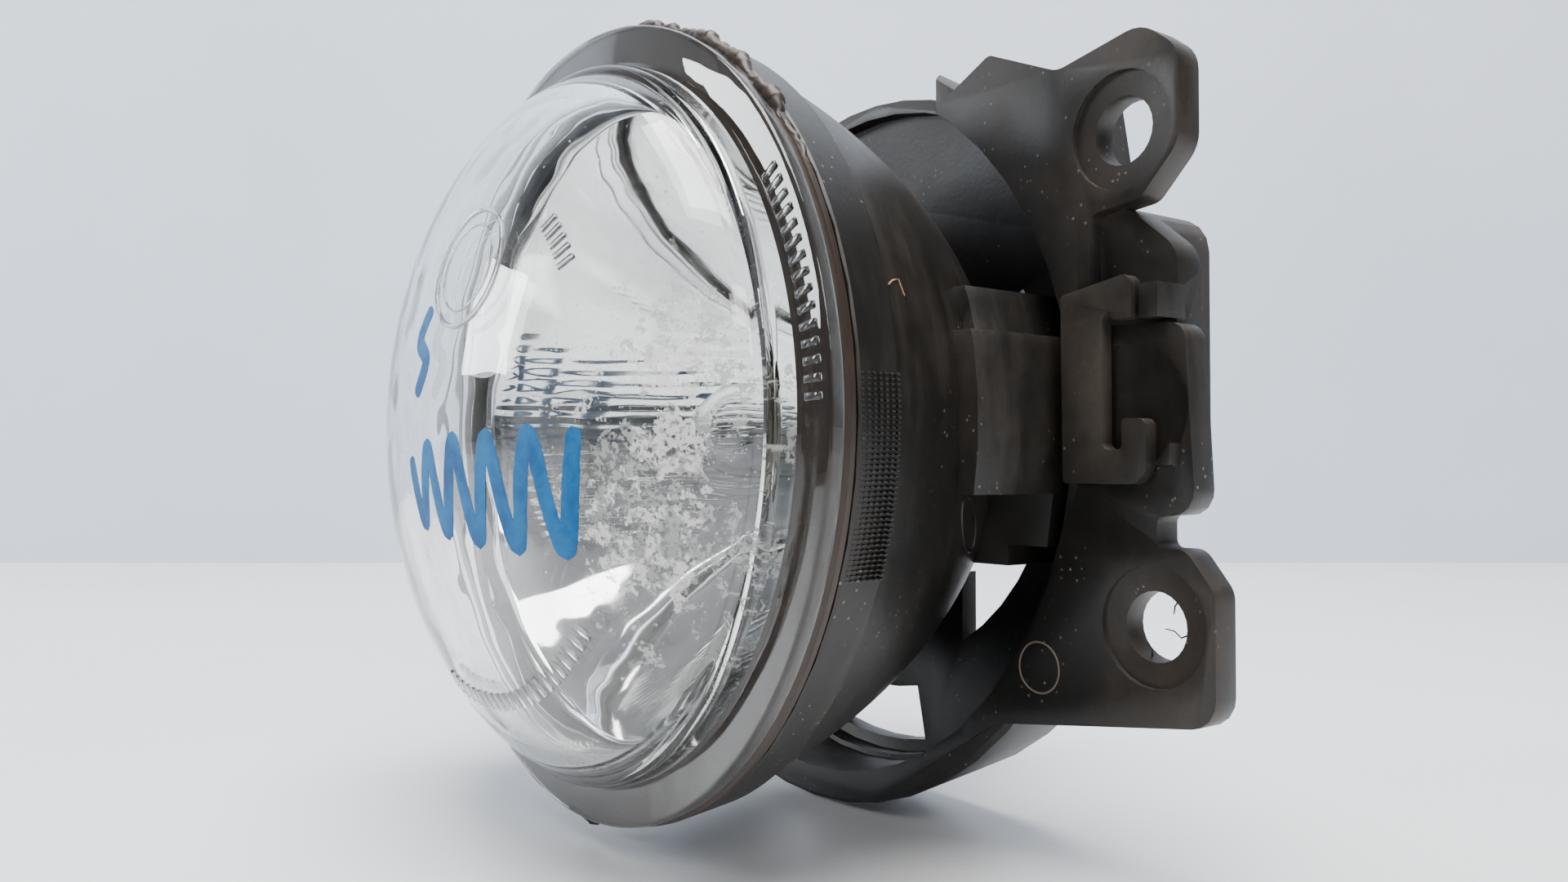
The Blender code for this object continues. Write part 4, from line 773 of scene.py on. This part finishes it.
@dataclass
class Lens:
    """The glass: flange, step, dome, moulded marks and what has dried on it."""

    rows: ArcRows
    radius: float = 45.0 * MM
    front: float = -36.7 * MM
    thickness: float = 1.7 * MM
    step_radius: float = 40.4 * MM
    step_height: float = 3.0 * MM
    shoulder: float = 1.2 * MM
    height: float = 18.8 * MM
    fullness: float = 1.5
    wall: float = 2.8 * MM
    sides: int = 224
    round_off: float = 0.45 * MM
    ring_centre: tuple[float, float] = (5.8 * MM, 16.0 * MM)
    stroke_width: float = 1.9 * MM

    def dome_y(self, radius: float, inner: bool = False) -> float:
        """Return the dome's depth at a radius.

        Args:
            radius: The distance from the lamp's axis.
            inner: Whether it is the inner face's.

        Returns:
            The y of the face.
        """
        edge = self.step_radius - self.shoulder
        rise = self.height - self.step_height
        start = self.front - self.step_height
        if inner:
            edge -= self.wall
            rise -= self.wall / 2
            start += self.wall / 2
        share = min(1.0, radius / edge)
        return start - rise * (1.0 - share * share) ** (1.0 / self.fullness)

    def on_dome(self, x: float, z: float, lift: float = 0.0) -> Vector:
        """Return a point on the dome's outer face."""
        return Vector((x, self.dome_y(math.hypot(x, z)) - lift, z))

    def glass(self) -> bpy.types.Object:
        """Make the lens itself.

        Returns:
            The piece.
        """
        edge = self.step_radius - self.shoulder
        inner_edge = edge - self.wall
        count = 40
        shares = [math.sin(index / count * math.pi / 2) for index in range(count + 1)]
        rear = self.front + self.thickness
        round_off = self.round_off
        inner = [(inner_edge * share, self.dome_y(inner_edge * share, True)) for share in shares]
        flange = [(inner_edge + 0.3 * MM, rear)]
        for index in range(5):
            turn = math.pi / 2 * index / 4
            centre = (self.radius - round_off, rear - round_off)
            flange.append((centre[0] + round_off * math.sin(turn), centre[1] + round_off * math.cos(turn)))
        for index in range(5):
            turn = math.pi / 2 * index / 4
            centre = (self.radius - round_off, self.front + round_off)
            flange.append((centre[0] + round_off * math.cos(turn), centre[1] - round_off * math.sin(turn)))
        flange.append((self.step_radius + 0.5 * MM, self.front))
        flange.append((self.step_radius + 0.1 * MM, self.front - 0.25 * MM))
        for index in range(7):
            turn = math.pi / 2 * index / 6
            depth = self.front - self.step_height + self.shoulder * (1 - math.sin(turn))
            flange.append((edge + self.shoulder * math.cos(turn), depth))
        outer = [(edge * share, self.dome_y(edge * share)) for share in shares[::-1]]
        return turned("lens_glass", inner + flange + outer, self.sides)

    def ring_on_dome(self, name: str, x: float, z: float, radius: float, thick: float) -> bpy.types.Object:
        """Make a raised ring on the dome.

        Args:
            name: The piece's name.
            x, z: Its centre.
            radius: Its radius.
            thick: The radius of its bead.

        Returns:
            The piece.
        """
        path = []
        for index in range(64):
            turn = math.tau * index / 64
            path.append(self.on_dome(x + radius * math.cos(turn), z + radius * math.sin(turn)))
        return tube(name, path, [thick] * len(path), 8, True)

    def stroke(self, name: str, knots: Outline, width: float) -> bpy.types.Object:
        """Make a flat dried stroke on the dome.

        Args:
            name: The piece's name.
            knots: The (x, z) points that it runs through, in millimetres.
            width: How wide it is.

        Returns:
            The piece.
        """
        knots = [(x * MM, z * MM) for x, z in knots]
        path = []
        for index in range(len(knots) - 1):
            before, first = knots[max(0, index - 1)], knots[index]
            second, after = knots[index + 1], knots[min(len(knots) - 1, index + 2)]
            for step in range(14):
                t = step / 14
                spot = []
                for axis in (0, 1):
                    a, b, c, d = before[axis], first[axis], second[axis], after[axis]
                    spot.append(
                        0.5 * (2 * b + (c - a) * t + (2 * a - 5 * b + 4 * c - d) * t * t
                               + (3 * b - a - 3 * c + d) * t ** 3)
                    )
                path.append(Vector(spot))
        path.append(Vector(knots[-1]))
        corners, faces = [], []
        across_count = 6
        for index, spot in enumerate(path):
            along = (path[min(index + 1, len(path) - 1)] - path[max(index - 1, 0)]).normalized()
            across = Vector((-along.y, along.x))
            reach = min(index, len(path) - 1 - index)
            taper = math.sqrt(max(0.0, 1 - (1 - min(1.0, (reach + 0.4) / 4)) ** 2))
            wobble = 1.0 + 0.12 * noise.noise(Vector((spot.x, spot.y, 0.0)) * 400)
            for lift in (0.07 * MM, 0.005 * MM):
                for side in range(across_count + 1):
                    offset = (side / across_count - 0.5) * width * taper * wobble
                    place_at = spot + across * offset
                    corners.append(tuple(self.on_dome(place_at.x, place_at.y, lift)))
        row = 2 * (across_count + 1)
        top = across_count + 1
        for index in range(len(path) - 1):
            here, there = index * row, (index + 1) * row
            for side in range(across_count):
                near, far = here + side, there + side
                faces.append((near, near + 1, far + 1, far))
                faces.append((near + top, far + top, far + top + 1, near + top + 1))
            faces.append((here, there, there + top, here + top))
            last = across_count
            faces.append((here + last, here + top + last, there + top + last, there + last))
        for start in (0, (len(path) - 1) * row):
            for side in range(across_count):
                faces.append((start + side, start + side + 1, start + top + side + 1, start + top + side))
        return mesh_piece(name, corners, faces, 60.0)

    def build(self) -> None:
        """Make and dress the lens and its marks."""
        clear = ClearGlass("lens_clear", pitting=0.9, pit_centre=(33 * MM, -6 * MM), ripple=0.10 * MM).make()
        mark = ClearGlass("lens_marks", tint=(0.93, 0.95, 0.945)).make()
        place(self.glass(), clear, Body.LAMP, "lens_glass", ["lens"])
        for name, radius, thick in (("lens_ring_mark", 6.2, 0.32), ("lens_inner_mark", 4.6, 0.16)):
            ring = self.ring_on_dome(name, *self.ring_centre, radius * MM, thick * MM)
            place(ring, mark, Body.LAMP, "lens_glass")
        rungs = self.rows.make(
            "lens_flange_rungs", mark, 0.12 * MM, Count=15, Rows=1, Radius=42.6 * MM, Depth=self.front,
            Start=math.radians(2.0), Pitch=math.radians(2.15), Row_pitch=0.0, Tilt=0.0,
            Along=2.3 * MM, Deep=0.5 * MM, Across=0.75 * MM,
        )
        place(rungs, mark, Body.LAMP, "lens_glass")
        sets = (("lens_low_bars", 30.0, -106.0, 22), ("lens_high_bars", 26.4, 34.0, 5))
        for name, radius, start, count in sets:
            slope = (self.dome_y((radius + 0.5) * MM) - self.dome_y((radius - 0.5) * MM)) / MM
            bars = self.rows.make(
                name, mark, 0.1 * MM, Count=count, Rows=1, Radius=radius * MM, Depth=self.dome_y(radius * MM),
                Start=math.radians(start), Pitch=math.radians(3.0), Row_pitch=0.0, Tilt=math.atan(slope),
                Along=2.2 * MM, Deep=0.5 * MM, Across=0.6 * MM,
            )
            place(bars, mark, Body.LAMP, "lens_glass")
        ink = Marker("marker_blue").make()
        strokes = {
            "mark_scribble": [
                (25.0, -1.0), (22.6, -12.6), (19.2, -1.4), (16.4, -12.4), (12.8, -1.8), (10.2, -12.0),
                (6.6, -2.0), (4.0, -11.4), (0.6, -2.6), (-1.6, -10.6), (-4.4, -3.6),
            ],
            "mark_high": [(-0.8, 12.4), (-3.0, 9.0), (-0.6, 6.6), (-2.8, 3.0)],
        }
        for name, knots in strokes.items():
            place(self.stroke(name, knots, self.stroke_width), ink, Body.LAMP, "lens_glass")


# ---------------------------------------------------------------- the pod


@dataclass
class Pod:
    """Housing, its smooth shell, the sealant, the reflector and the vent."""

    rows: ArcRows
    rim_front: float = -33.6 * MM
    band_rear: float = -27.9 * MM
    bowl_radius: float = 45.3 * MM
    bowl_length: float = 61.4 * MM
    bowl_centre: float = -45.0 * MM
    skin: float = 0.07 * MM
    vertex: float = 4.5 * MM
    focal: float = 10.0 * MM
    flute_pitch: float = 1.7 * MM
    flute_depth: float = 0.04 * MM
    zone_start: float = 11.0 * MM
    zone_height: float = 17.0 * MM
    panel_depth: float = 0.12 * MM
    hole: float = 11.0 * MM
    mirror_wall: float = 2.2 * MM
    mirror_edge: float = -31.5 * MM
    lip_front: float = -32.5 * MM
    bead_radius: float = 44.95 * MM
    bead_y: float = -34.15 * MM
    bowl_end: float = 11.6 * MM
    oval_y: float = -10.4 * MM
    oval_turn: float = math.radians(-17.0)

    def bowl(self, y: float) -> float:
        """Return the bowl's radius at a depth."""
        share = (y - self.bowl_centre) / self.bowl_length
        return self.bowl_radius * math.sqrt(max(0.0, 1.0 - share * share))

    def shell(self) -> bpy.types.Object:
        """Make the smooth skin over the rim band and the bowl.

        Returns:
            The piece.
        """
        outer = [(44.6 * MM, self.rim_front + 0.02 * MM), (44.9 * MM, self.rim_front + 0.04 * MM)]
        outer += [(45.0 * MM + self.skin, self.rim_front + 0.3 * MM)]
        outer += [(44.35 * MM + self.skin, self.band_rear - 0.35 * MM)]
        outer += [(44.1 * MM, self.band_rear - 0.02 * MM)]
        start, end = self.band_rear + 0.22 * MM, self.bowl_end
        outer += [(self.bowl(start) + 0.4 * MM, self.band_rear + 0.1 * MM)]
        for index in range(49):
            y = start + (end - start) * math.sin(index / 48 * math.pi / 2)
            outer.append((self.bowl(y) + self.skin, y))
        inner = [(radius - 0.5 * MM, y) for radius, y in outer[::-1]]
        inner[-1] = (inner[-1][0], inner[-1][1] + 0.1 * MM)
        return turned("pod_shell", outer + inner, 224, loop=True)

    def oval(self) -> bpy.types.Object:
        """Make the raised oval on the bowl's side.

        Returns:
            The piece.
        """
        path = []
        for index in range(56):
            turn = math.tau * index / 56
            along, across = 5.6 * MM * math.cos(turn), 1.5 * MM * math.sin(turn)
            y = self.oval_y + along * 0.55 + across * 0.84
            around = self.oval_turn + (-along * 0.62 + across * 0.55) / (37 * MM)
            radius = self.bowl(y) + self.skin
            path.append(Vector((radius * math.cos(around), y, radius * math.sin(around))))
        return tube("pod_oval", path, [0.17 * MM] * len(path), 6, True)

    def fibre(
        self, name: str, start: tuple[float, float], bends: Outline, radius: float
    ) -> bpy.types.Object:
        """Make a dried thread on the bowl.

        Args:
            name: The piece's name.
            start: Where it starts, as an angle in degrees and a depth.
            bends: Its other points, measured from the start.
            radius: Its radius.

        Returns:
            The piece.
        """
        path = []
        for turn_shift, depth_shift in [(0.0, 0.0), *bends]:
            y = start[1] + depth_shift
            turn = math.radians(start[0] + turn_shift)
            reach = self.bowl(y) + self.skin + 0.05 * MM
            path.append(Vector((reach * math.cos(turn), y, reach * math.sin(turn))))
        return tube(name, path, [radius] * len(path), 5)

    def bead(self, name: str, start: float, end: float, thick: float, lumps: float) -> bpy.types.Object:
        """Make a length of squeezed-out sealant.

        Args:
            name: The piece's name.
            start, end: The angles between which it lies, in degrees.
            thick: Its radius.
            lumps: How uneven it is.

        Returns:
            The piece.
        """
        count = max(24, int(abs(end - start) * 3))
        path, radii = [], []
        for index in range(count + 1):
            share = index / count
            turn = math.radians(start + (end - start) * share)
            rough = noise.noise(Vector((math.cos(turn), math.sin(turn), 0.3)) * 14)
            fine = noise.noise(Vector((math.cos(turn), math.sin(turn), 1.7)) * 55)
            ends = min(1.0, 6 * share, 6 * (1 - share))
            radius = thick * (0.72 + lumps * rough + 0.35 * fine) * (0.25 + 0.75 * ends)
            reach = self.bead_radius + 0.35 * MM * rough
            y = self.bead_y + 0.5 * MM * fine + 0.4 * MM * rough
            path.append(Vector((reach * math.cos(turn), y, reach * math.sin(turn))))
            radii.append(max(0.12 * MM, radius))
        return tube(name, path, radii, 10)

    def sealant(self) -> bpy.types.Object:
        """Make the even part of the sealant.

        Returns:
            The piece.
        """
        profile = [
            (43.1, -30.9), (43.1, -33.9), (44.9, -33.85), (45.15, -34.0), (45.2, -34.3), (45.15, -34.6),
            (44.9, -34.7), (44.6, -35.02), (38.2, -35.02), (38.2, -33.9), (41.5, -33.9), (41.5, -30.9),
        ]
        return turned("sealant_ring", [(r * MM, y * MM) for r, y in profile], 192, loop=True)

    def mirror(self) -> bpy.types.Object:
        """Make the reflector, with fine flutes at its sides and four soft panels.

        Returns:
            The piece.
        """
        hole, wall, count = self.hole, self.mirror_wall, 76
        front = math.sqrt(4 * self.focal * (self.vertex - self.mirror_edge))
        inner, outer = [], []
        for index in range(count + 1):
            radius = hole + (front - hole) * index / count
            inner.append((radius, self.vertex - radius * radius / (4 * self.focal)))
        for index in range(9):
            radius = hole + (front - hole) * index / 8
            outer.append((radius, self.vertex + wall - radius * radius / (4 * self.focal)))
        lip = math.sqrt(4 * self.focal * (self.vertex + wall - self.mirror_edge))
        edge = [(lip, self.mirror_edge), (lip, self.lip_front + 0.1 * MM)]
        edge += [(lip - 0.1 * MM, self.lip_front), (front, self.lip_front)]
        profile = outer + edge + inner[::-1]
        first = len(outer) + len(edge)

        def relief(index: int, x: float, z: float, radius: float) -> float:
            """Return how far the mirror's face is moved along y at a point.

            Args:
                index: The profile point's number.
                x, z: Where the point is.
                radius: Its distance from the axis.

            Returns:
                The shift.
            """
            if index < first:
                return 0.0
            rim = min(1.0, max(0.0, (front - radius) / (1.5 * MM)), max(0.0, (radius - hole) / MM))
            beside = smooth((abs(x) - self.zone_start) / (4 * MM))
            within = 1.0 - smooth((abs(z) - self.zone_height + 5 * MM) / (5 * MM))
            flute = self.flute_depth * beside * within * (1 + math.cos(math.tau * z / self.flute_pitch))
            panel = self.panel_depth * smooth((radius - 16 * MM) / (8 * MM)) * math.cos(4 * math.atan2(z, x))
            grain = 0.006 * MM * noise.noise(Vector((x, z, 0.0)) * 420)
            return -rim * (flute + panel + grain)

        return turned("reflector_mirror", profile, 640, loop=True, relief=relief)

    def build(self) -> None:
        """Make and dress the pod's pieces."""
        plastic = Moulding(
            "pod_plastic", paint(15, 13, 11), dust=paint(66, 57, 48), dustiness=0.5, roughness=0.42,
            specks=0.3,
        ).make()
        show("housing", "pod_body", 0.35 * MM, plastic, Body.LAMP, "pod_plastic")
        place(self.shell(), plastic, Body.LAMP, "pod_plastic")
        place(self.oval(), plastic, Body.LAMP, "pod_plastic")
        ridges = self.rows.make(
            "band_ridges", plastic, 0.05 * MM, Count=40, Rows=7, Radius=44.72 * MM, Depth=-33.0 * MM,
            Start=math.radians(-19.5), Pitch=math.radians(0.62), Row_pitch=0.72 * MM, Tilt=0.0,
            Along=0.72 * MM, Deep=0.4 * MM, Across=0.2 * MM,
        )
        place(ridges, plastic, Body.LAMP, "pod_plastic")
        sealant = Moulding(
            "sealant_brown", paint(40, 29, 22), dust=paint(84, 66, 50), dustiness=0.5, roughness=0.42,
            waviness=0.18 * MM,
        ).make()
        place(self.sealant(), sealant, Body.LAMP, "sealant_brown", ["lens_sealant"])
        beads = (("sealant_bead_top", 94.0, 30.0, 0.95, 0.8), ("sealant_bead_low", -84.0, -97.0, 1.25, 0.9))
        for name, start, end, thick, lumps in beads:
            place(self.bead(name, start, end, thick * MM, lumps), sealant, Body.LAMP, "sealant_brown")
        thread = Moulding("dry_thread", paint(150, 118, 82), dustiness=0.2).make()
        bends = [(0.8, 0.8 * MM), (1.3, 1.9 * MM), (-0.9, 2.4 * MM)]
        piece = self.fibre("thread_bit", (16.5, -27.0 * MM), bends, 0.09 * MM)
        place(piece, thread, Body.LAMP, "pod_plastic")
        silver = Silvering("reflector_silver").make()
        place(self.mirror(), silver, Body.LAMP, "reflector_mirror", ["reflector"])
        rubber = Moulding("vent_rubber", paint(32, 31, 30), dustiness=0.35, roughness=0.65).make()
        show("vent_cap", "vent_boot", 0.3 * MM, rubber, Body.LAMP, "vent_rubber")
        show("vent_filter", "vent_felt", 0.1 * MM, Felt("vent_felt").make(), Body.LAMP, "filter_felt")
        nylon = Moulding("nut_nylon", paint(208, 200, 182), dust=paint(150, 136, 112), dustiness=0.5).make()
        show("adjuster_nut", "aim_nut", 0.2 * MM, nylon, Body.LAMP, "nut_plastic")
        steel = Metal("pivot_steel", paint(160, 158, 154)).make()
        for side in Side:
            node = "pivot_pin_" + side.value
            show(node, "pin_" + side.value, 0.12 * MM, steel, Body.LAMP, "pivot_steel")


# ---------------------------------------------------------------- the carrier


@dataclass
class Carrier:
    """The ring with its ears, the clips and the bushes."""

    plate_front: float = -3.3 * MM

    def flat_ring(self, name: str, x: float, z: float, radius: float, thick: float) -> bpy.types.Object:
        """Make a fine raised ring on the plate's front.

        Args:
            name: The piece's name.
            x, z: Its centre.
            radius: Its radius.
            thick: The radius of its bead.

        Returns:
            The piece.
        """
        path = []
        for index in range(48):
            turn = math.tau * index / 48
            wander = 1.0 + 0.03 * noise.noise(Vector((math.cos(turn), math.sin(turn), x / MM)))
            reach = radius * wander
            path.append(Vector((x + reach * math.cos(turn), self.plate_front, z + reach * math.sin(turn))))
        return tube(name, path, [thick] * len(path), 6, True)

    def burr(
        self, name: str, points: Sequence[tuple[float, float, float]], thick: float
    ) -> bpy.types.Object:
        """Make one shred of plastic."""
        path = [Vector(point) * MM for point in points]
        return tube(name, path, [thick * (1.0 - 0.6 * index / len(path)) for index in range(len(path))], 5)

    def build(self) -> None:
        """Make and dress the carrier's pieces."""
        plastic = Moulding(
            "carrier_plastic", paint(14, 12, 11), dust=paint(72, 61, 50), dustiness=0.6, roughness=0.45,
            specks=0.3,
        ).make()
        show("bracket", "carrier_ring", 0.45 * MM, plastic, Body.CARRIER, "carrier_plastic")
        pale = Moulding("ejector_edge", paint(92, 84, 74), dust=paint(120, 108, 94), dustiness=0.5).make()
        ring = self.flat_ring("ejector_mark", 39.1 * MM, -26.0 * MM, 2.7 * MM, 0.11 * MM)
        place(ring, pale, Body.CARRIER, "carrier_plastic")
        shreds = (
            ((56.8, -1.2, -20.6), (55.6, -1.8, -21.2), (55.0, -2.0, -20.6), (54.2, -2.4, -20.4)),
            ((55.2, -1.0, -17.4), (54.8, -1.6, -18.2), (55.1, -2.2, -18.9)),
            ((52.0, -1.4, -23.4), (52.4, -2.0, -22.6), (52.1, -2.6, -22.0)),
        )
        for index, points in enumerate(shreds):
            shred = self.burr(f"hole_shred_{index}", points, 0.11 * MM)
            place(shred, plastic, Body.CARRIER, "carrier_plastic")
        clip = Moulding(
            "clip_plastic", paint(24, 21, 18), dust=paint(88, 77, 65), dustiness=0.65, roughness=0.48,
            specks=0.3,
        ).make()
        bush = Moulding("bush_plastic", paint(196, 190, 174), dust=paint(130, 116, 98)).make()
        for side in Side:
            node = "pivot_clip_" + side.value
            show(node, "clip_" + side.value, 0.35 * MM, clip, Body.CARRIER, "clip_plastic")
            node = "pivot_bush_" + side.value
            show(node, "bush_" + side.value, 0.15 * MM, bush, Body.CARRIER, "bush_plastic")


# ---------------------------------------------------------------- the adjuster and the bulb


@dataclass
class Adjuster:
    """The aiming screw and its ring clip."""

    x: float = -24.0 * MM
    z: float = 28.0 * MM
    pitch: float = 1.25 * MM
    root: float = 2.36 * MM
    thread_start: float = -2.0 * MM
    ridge: float = 0.26 * MM

    def thread(self) -> bpy.types.Object:
        """Make the screw's thread as one ridge along a helix.

        Returns:
            The piece.
        """
        path, radii = [], []
        turns, each = 7.2, 26
        count = int(turns * each)
        for index in range(count + 1):
            turn = math.tau * index / each
            y = self.thread_start + self.pitch * index / each
            path.append(Vector((self.x + self.root * math.sin(turn), y, self.z + self.root * math.cos(turn))))
            radii.append(self.ridge * min(1.0, (index + 2) / 10, (count - index + 2) / 10))
        return tube("aim_thread", path, radii, 6)

    def build(self) -> None:
        """Make and dress the adjuster's pieces."""
        plated = Metal("screw_plating", paint(176, 160, 116), roughness=0.3).make()
        show("adjuster_screw", "aim_screw", 0.15 * MM, plated, Body.ADJUSTER, "screw_steel")
        place(self.thread(), plated, Body.ADJUSTER, "screw_steel")
        plain = Metal("ring_steel", paint(150, 150, 152)).make()
        show("adjuster_clip", "aim_ring", 0.08 * MM, plain, Body.ADJUSTER, "ring_steel")


@dataclass
class Bulb:
    """The bulb with its filament, collar, seal and connector."""

    rows: ArcRows
    filament_y: float = -5.5 * MM
    filament_length: float = 4.6 * MM
    coil_radius: float = 0.53 * MM
    wire_radius: float = 0.11 * MM

    def coil(self) -> bpy.types.Object:
        """Make the filament's coil.

        Returns:
            The piece.
        """
        turns, each = 11, 18
        count = turns * each
        path = []
        for index in range(count + 1):
            turn = math.tau * index / each
            y = self.filament_y - self.filament_length / 2 + self.filament_length * index / count
            path.append(Vector((self.coil_radius * math.cos(turn), y, self.coil_radius * math.sin(turn))))
        return tube("filament_coil", path, [self.wire_radius] * len(path), 6)

    def build(self) -> None:
        """Make and dress the bulb's pieces."""
        quartz = ClearGlass("bulb_quartz", tint=(0.99, 0.99, 0.985)).make()
        show("bulb_glass", "bulb_envelope", 0.0, quartz, Body.BULB, "bulb_quartz")
        wire = Metal("filament_wire", paint(120, 118, 116)).make()
        place(self.coil(), wire, Body.BULB, "filament_wire", ["filament"])
        lead = Metal("lead_wire", paint(180, 178, 176)).make()
        for name in ("long", "short"):
            node = "lead_wire_" + name
            show(node, "lead_" + name, 0.0, lead, Body.BULB, "lead_wire")
        collar = Moulding(
            "collar_plastic", paint(188, 180, 158), dust=paint(120, 108, 90), dustiness=0.35, roughness=0.35
        ).make()
        show("bulb_collar", "collar", 0.2 * MM, collar, Body.BULB, "collar_plastic")
        grips = self.rows.make(
            "collar_grips", collar, 0.1 * MM, Count=40, Rows=1, Radius=14.4 * MM, Depth=23.3 * MM,
            Start=0.0, Pitch=math.tau / 40, Row_pitch=0.0, Tilt=0.0,
            Along=0.9 * MM, Deep=1.3 * MM, Across=0.9 * MM,
        )
        place(grips, collar, Body.BULB, "collar_plastic")
        seal = Moulding("seal_rubber", paint(140, 62, 40), dustiness=0.2, roughness=0.55).make()
        show("bulb_seal", "seal_ring", 0.0, seal, Body.BULB, "seal_rubber")
        shell = Moulding("connector_plastic", paint(38, 38, 40), dustiness=0.4, roughness=0.45).make()
        show("bulb_base", "connector", 0.35 * MM, shell, Body.BULB, "connector_plastic")
        blade = Metal("terminal_tin", paint(206, 204, 198), roughness=0.22).make()
        for side in Side:
            node = "terminal_" + side.value
            show(node, "blade_" + side.value, 0.15 * MM, blade, Body.BULB, "terminal_metal")


# ---------------------------------------------------------------- the setting


@dataclass
class Setting:
    """Floor, wall, lights and camera."""

    eye: Vector = field(default_factory=lambda: Vector((126.6, -104.0, -4.9)) * MM)
    yaw: float = math.radians(52.7)
    pitch: float = math.radians(-1.3)
    focal: float = 28.125
    sensor: float = 36.0
    wall_distance: float = 0.56
    wall_reach: float = 1.6
    wall_height: float = 1.2
    floor_reach: float = 3.0
    near_clip: float = 0.005
    sky: Colour = (0.78, 0.83, 0.90)
    sky_strength: float = 0.14

    def look(self) -> Vector:
        """Return the camera's direction."""
        level = math.cos(self.pitch)
        return Vector((-math.sin(self.yaw) * level, math.cos(self.yaw) * level, -math.sin(self.pitch)))

    def flat(
        self, name: str, centre: Vector, across: Vector, up: Vector, colour: Colour, rough: float
    ) -> bpy.types.Object:
        """Make a large flat stage piece with a faintly uneven colour.

        Args:
            name: The piece's name.
            centre: Its centre.
            across, up: From its centre to the middle of two sides.
            colour: Its colour.
            rough: Its roughness.

        Returns:
            The piece.
        """
        corners = [centre + across * a + up * b for a, b in ((-1, -1), (1, -1), (1, 1), (-1, 1))]
        mesh = bpy.data.meshes.new(name)
        mesh.from_pydata([tuple(corner) for corner in corners], [], [(0, 1, 2, 3)])
        item = bpy.data.objects.new(name, mesh)
        bpy.context.scene.collection.objects.link(item)
        coat = Coat(name + "_paint")
        shade = tuple(part * 0.93 for part in colour)
        coat.set(Base_Color=coat.blend(coat.cloud(6.0, 4.0).step(0.3, 0.8), colour, shade), Roughness=rough)
        item.data.materials.append(coat.material)
        return item

    def light(
        self, name: str, spot: Vector, target: Vector, size: float, power: float, colour: Colour
    ) -> None:
        """Add a soft square light.

        Args:
            name: Its name.
            spot: Where it is.
            target: The point that it looks at.
            size: The length of its side.
            power: Its power in watts.
            colour: Its colour.
        """
        light = bpy.data.lights.new(name, "AREA")
        light.shape = "SQUARE"
        light.size = size
        light.energy = power
        light.color = colour
        item = bpy.data.objects.new(name, light)
        item.location = spot
        item.rotation_euler = (target - spot).to_track_quat("-Z", "Y").to_euler()
        bpy.context.scene.collection.objects.link(item)

    def build(self) -> None:
        """Set the stage."""
        floor_z = CAD_BOX[0].z - 0.05 * MM
        under, pale = Vector((0, 0, floor_z)), paint(232, 233, 235)
        reach = self.floor_reach
        self.flat("floor", under, Vector((reach, 0, 0)), Vector((0, reach, 0)), pale, 0.35)
        level = Vector((-math.sin(self.yaw), math.cos(self.yaw), 0))
        side = level.cross(Vector((0, 0, 1)))
        wall_centre = self.eye + level * self.wall_distance
        wall_centre.z = floor_z + self.wall_height
        up = Vector((0, 0, self.wall_height))
        self.flat("wall", wall_centre, side * self.wall_reach, up, paint(206, 214, 228), 0.8)
        centre = Vector((0, -10 * MM, 0))
        self.light("ceiling", Vector((0.15, -0.1, 0.95)), centre, 0.7, 27.0, (1.0, 0.99, 0.97))
        self.light("left_window", Vector((-0.75, -0.75, 0.3)), centre, 0.3, 7.0, (0.93, 0.97, 1.0))
        self.light("right_fill", Vector((0.8, -0.3, 0.45)), centre, 0.35, 4.5, (1.0, 0.98, 0.95))
        dark = paint(16, 16, 18)
        ahead = Vector((-0.22, -1.05, 0.12))
        cards = [self.flat("card_ahead", ahead, Vector((0.26, 0.0, 0.0)), Vector((0, 0, 0.2)), dark, 0.9)]
        behind = self.eye - self.look() * 0.35
        cards.append(self.flat("card_behind", behind, side * 0.2, Vector((0, 0, 0.26)), dark, 0.9))
        for card in cards:
            card.visible_camera = False
        world = bpy.data.worlds.new("room")
        world.use_nodes = True
        world.node_tree.nodes["Background"].inputs[0].default_value = (*self.sky, 1.0)
        world.node_tree.nodes["Background"].inputs[1].default_value = self.sky_strength
        bpy.context.scene.world = world
        camera = bpy.data.cameras.new("camera")
        camera.lens = self.focal
        camera.sensor_width = self.sensor
        camera.clip_start = self.near_clip
        item = bpy.data.objects.new("camera", camera)
        item.location = self.eye
        item.rotation_euler = self.look().to_track_quat("-Z", "Y").to_euler()
        bpy.context.scene.collection.objects.link(item)
        bpy.context.scene.camera = item


def main() -> None:
    """Build the setting and every part of the lamp."""
    logging.basicConfig(level=logging.INFO, format="%(message)s")
    Setting().build()
    rows = ArcRows()
    for part in (Carrier(), Pod(rows), Lens(rows), Adjuster(), Bulb(rows)):
        part.build()


if __name__ == "__main__":
    main()
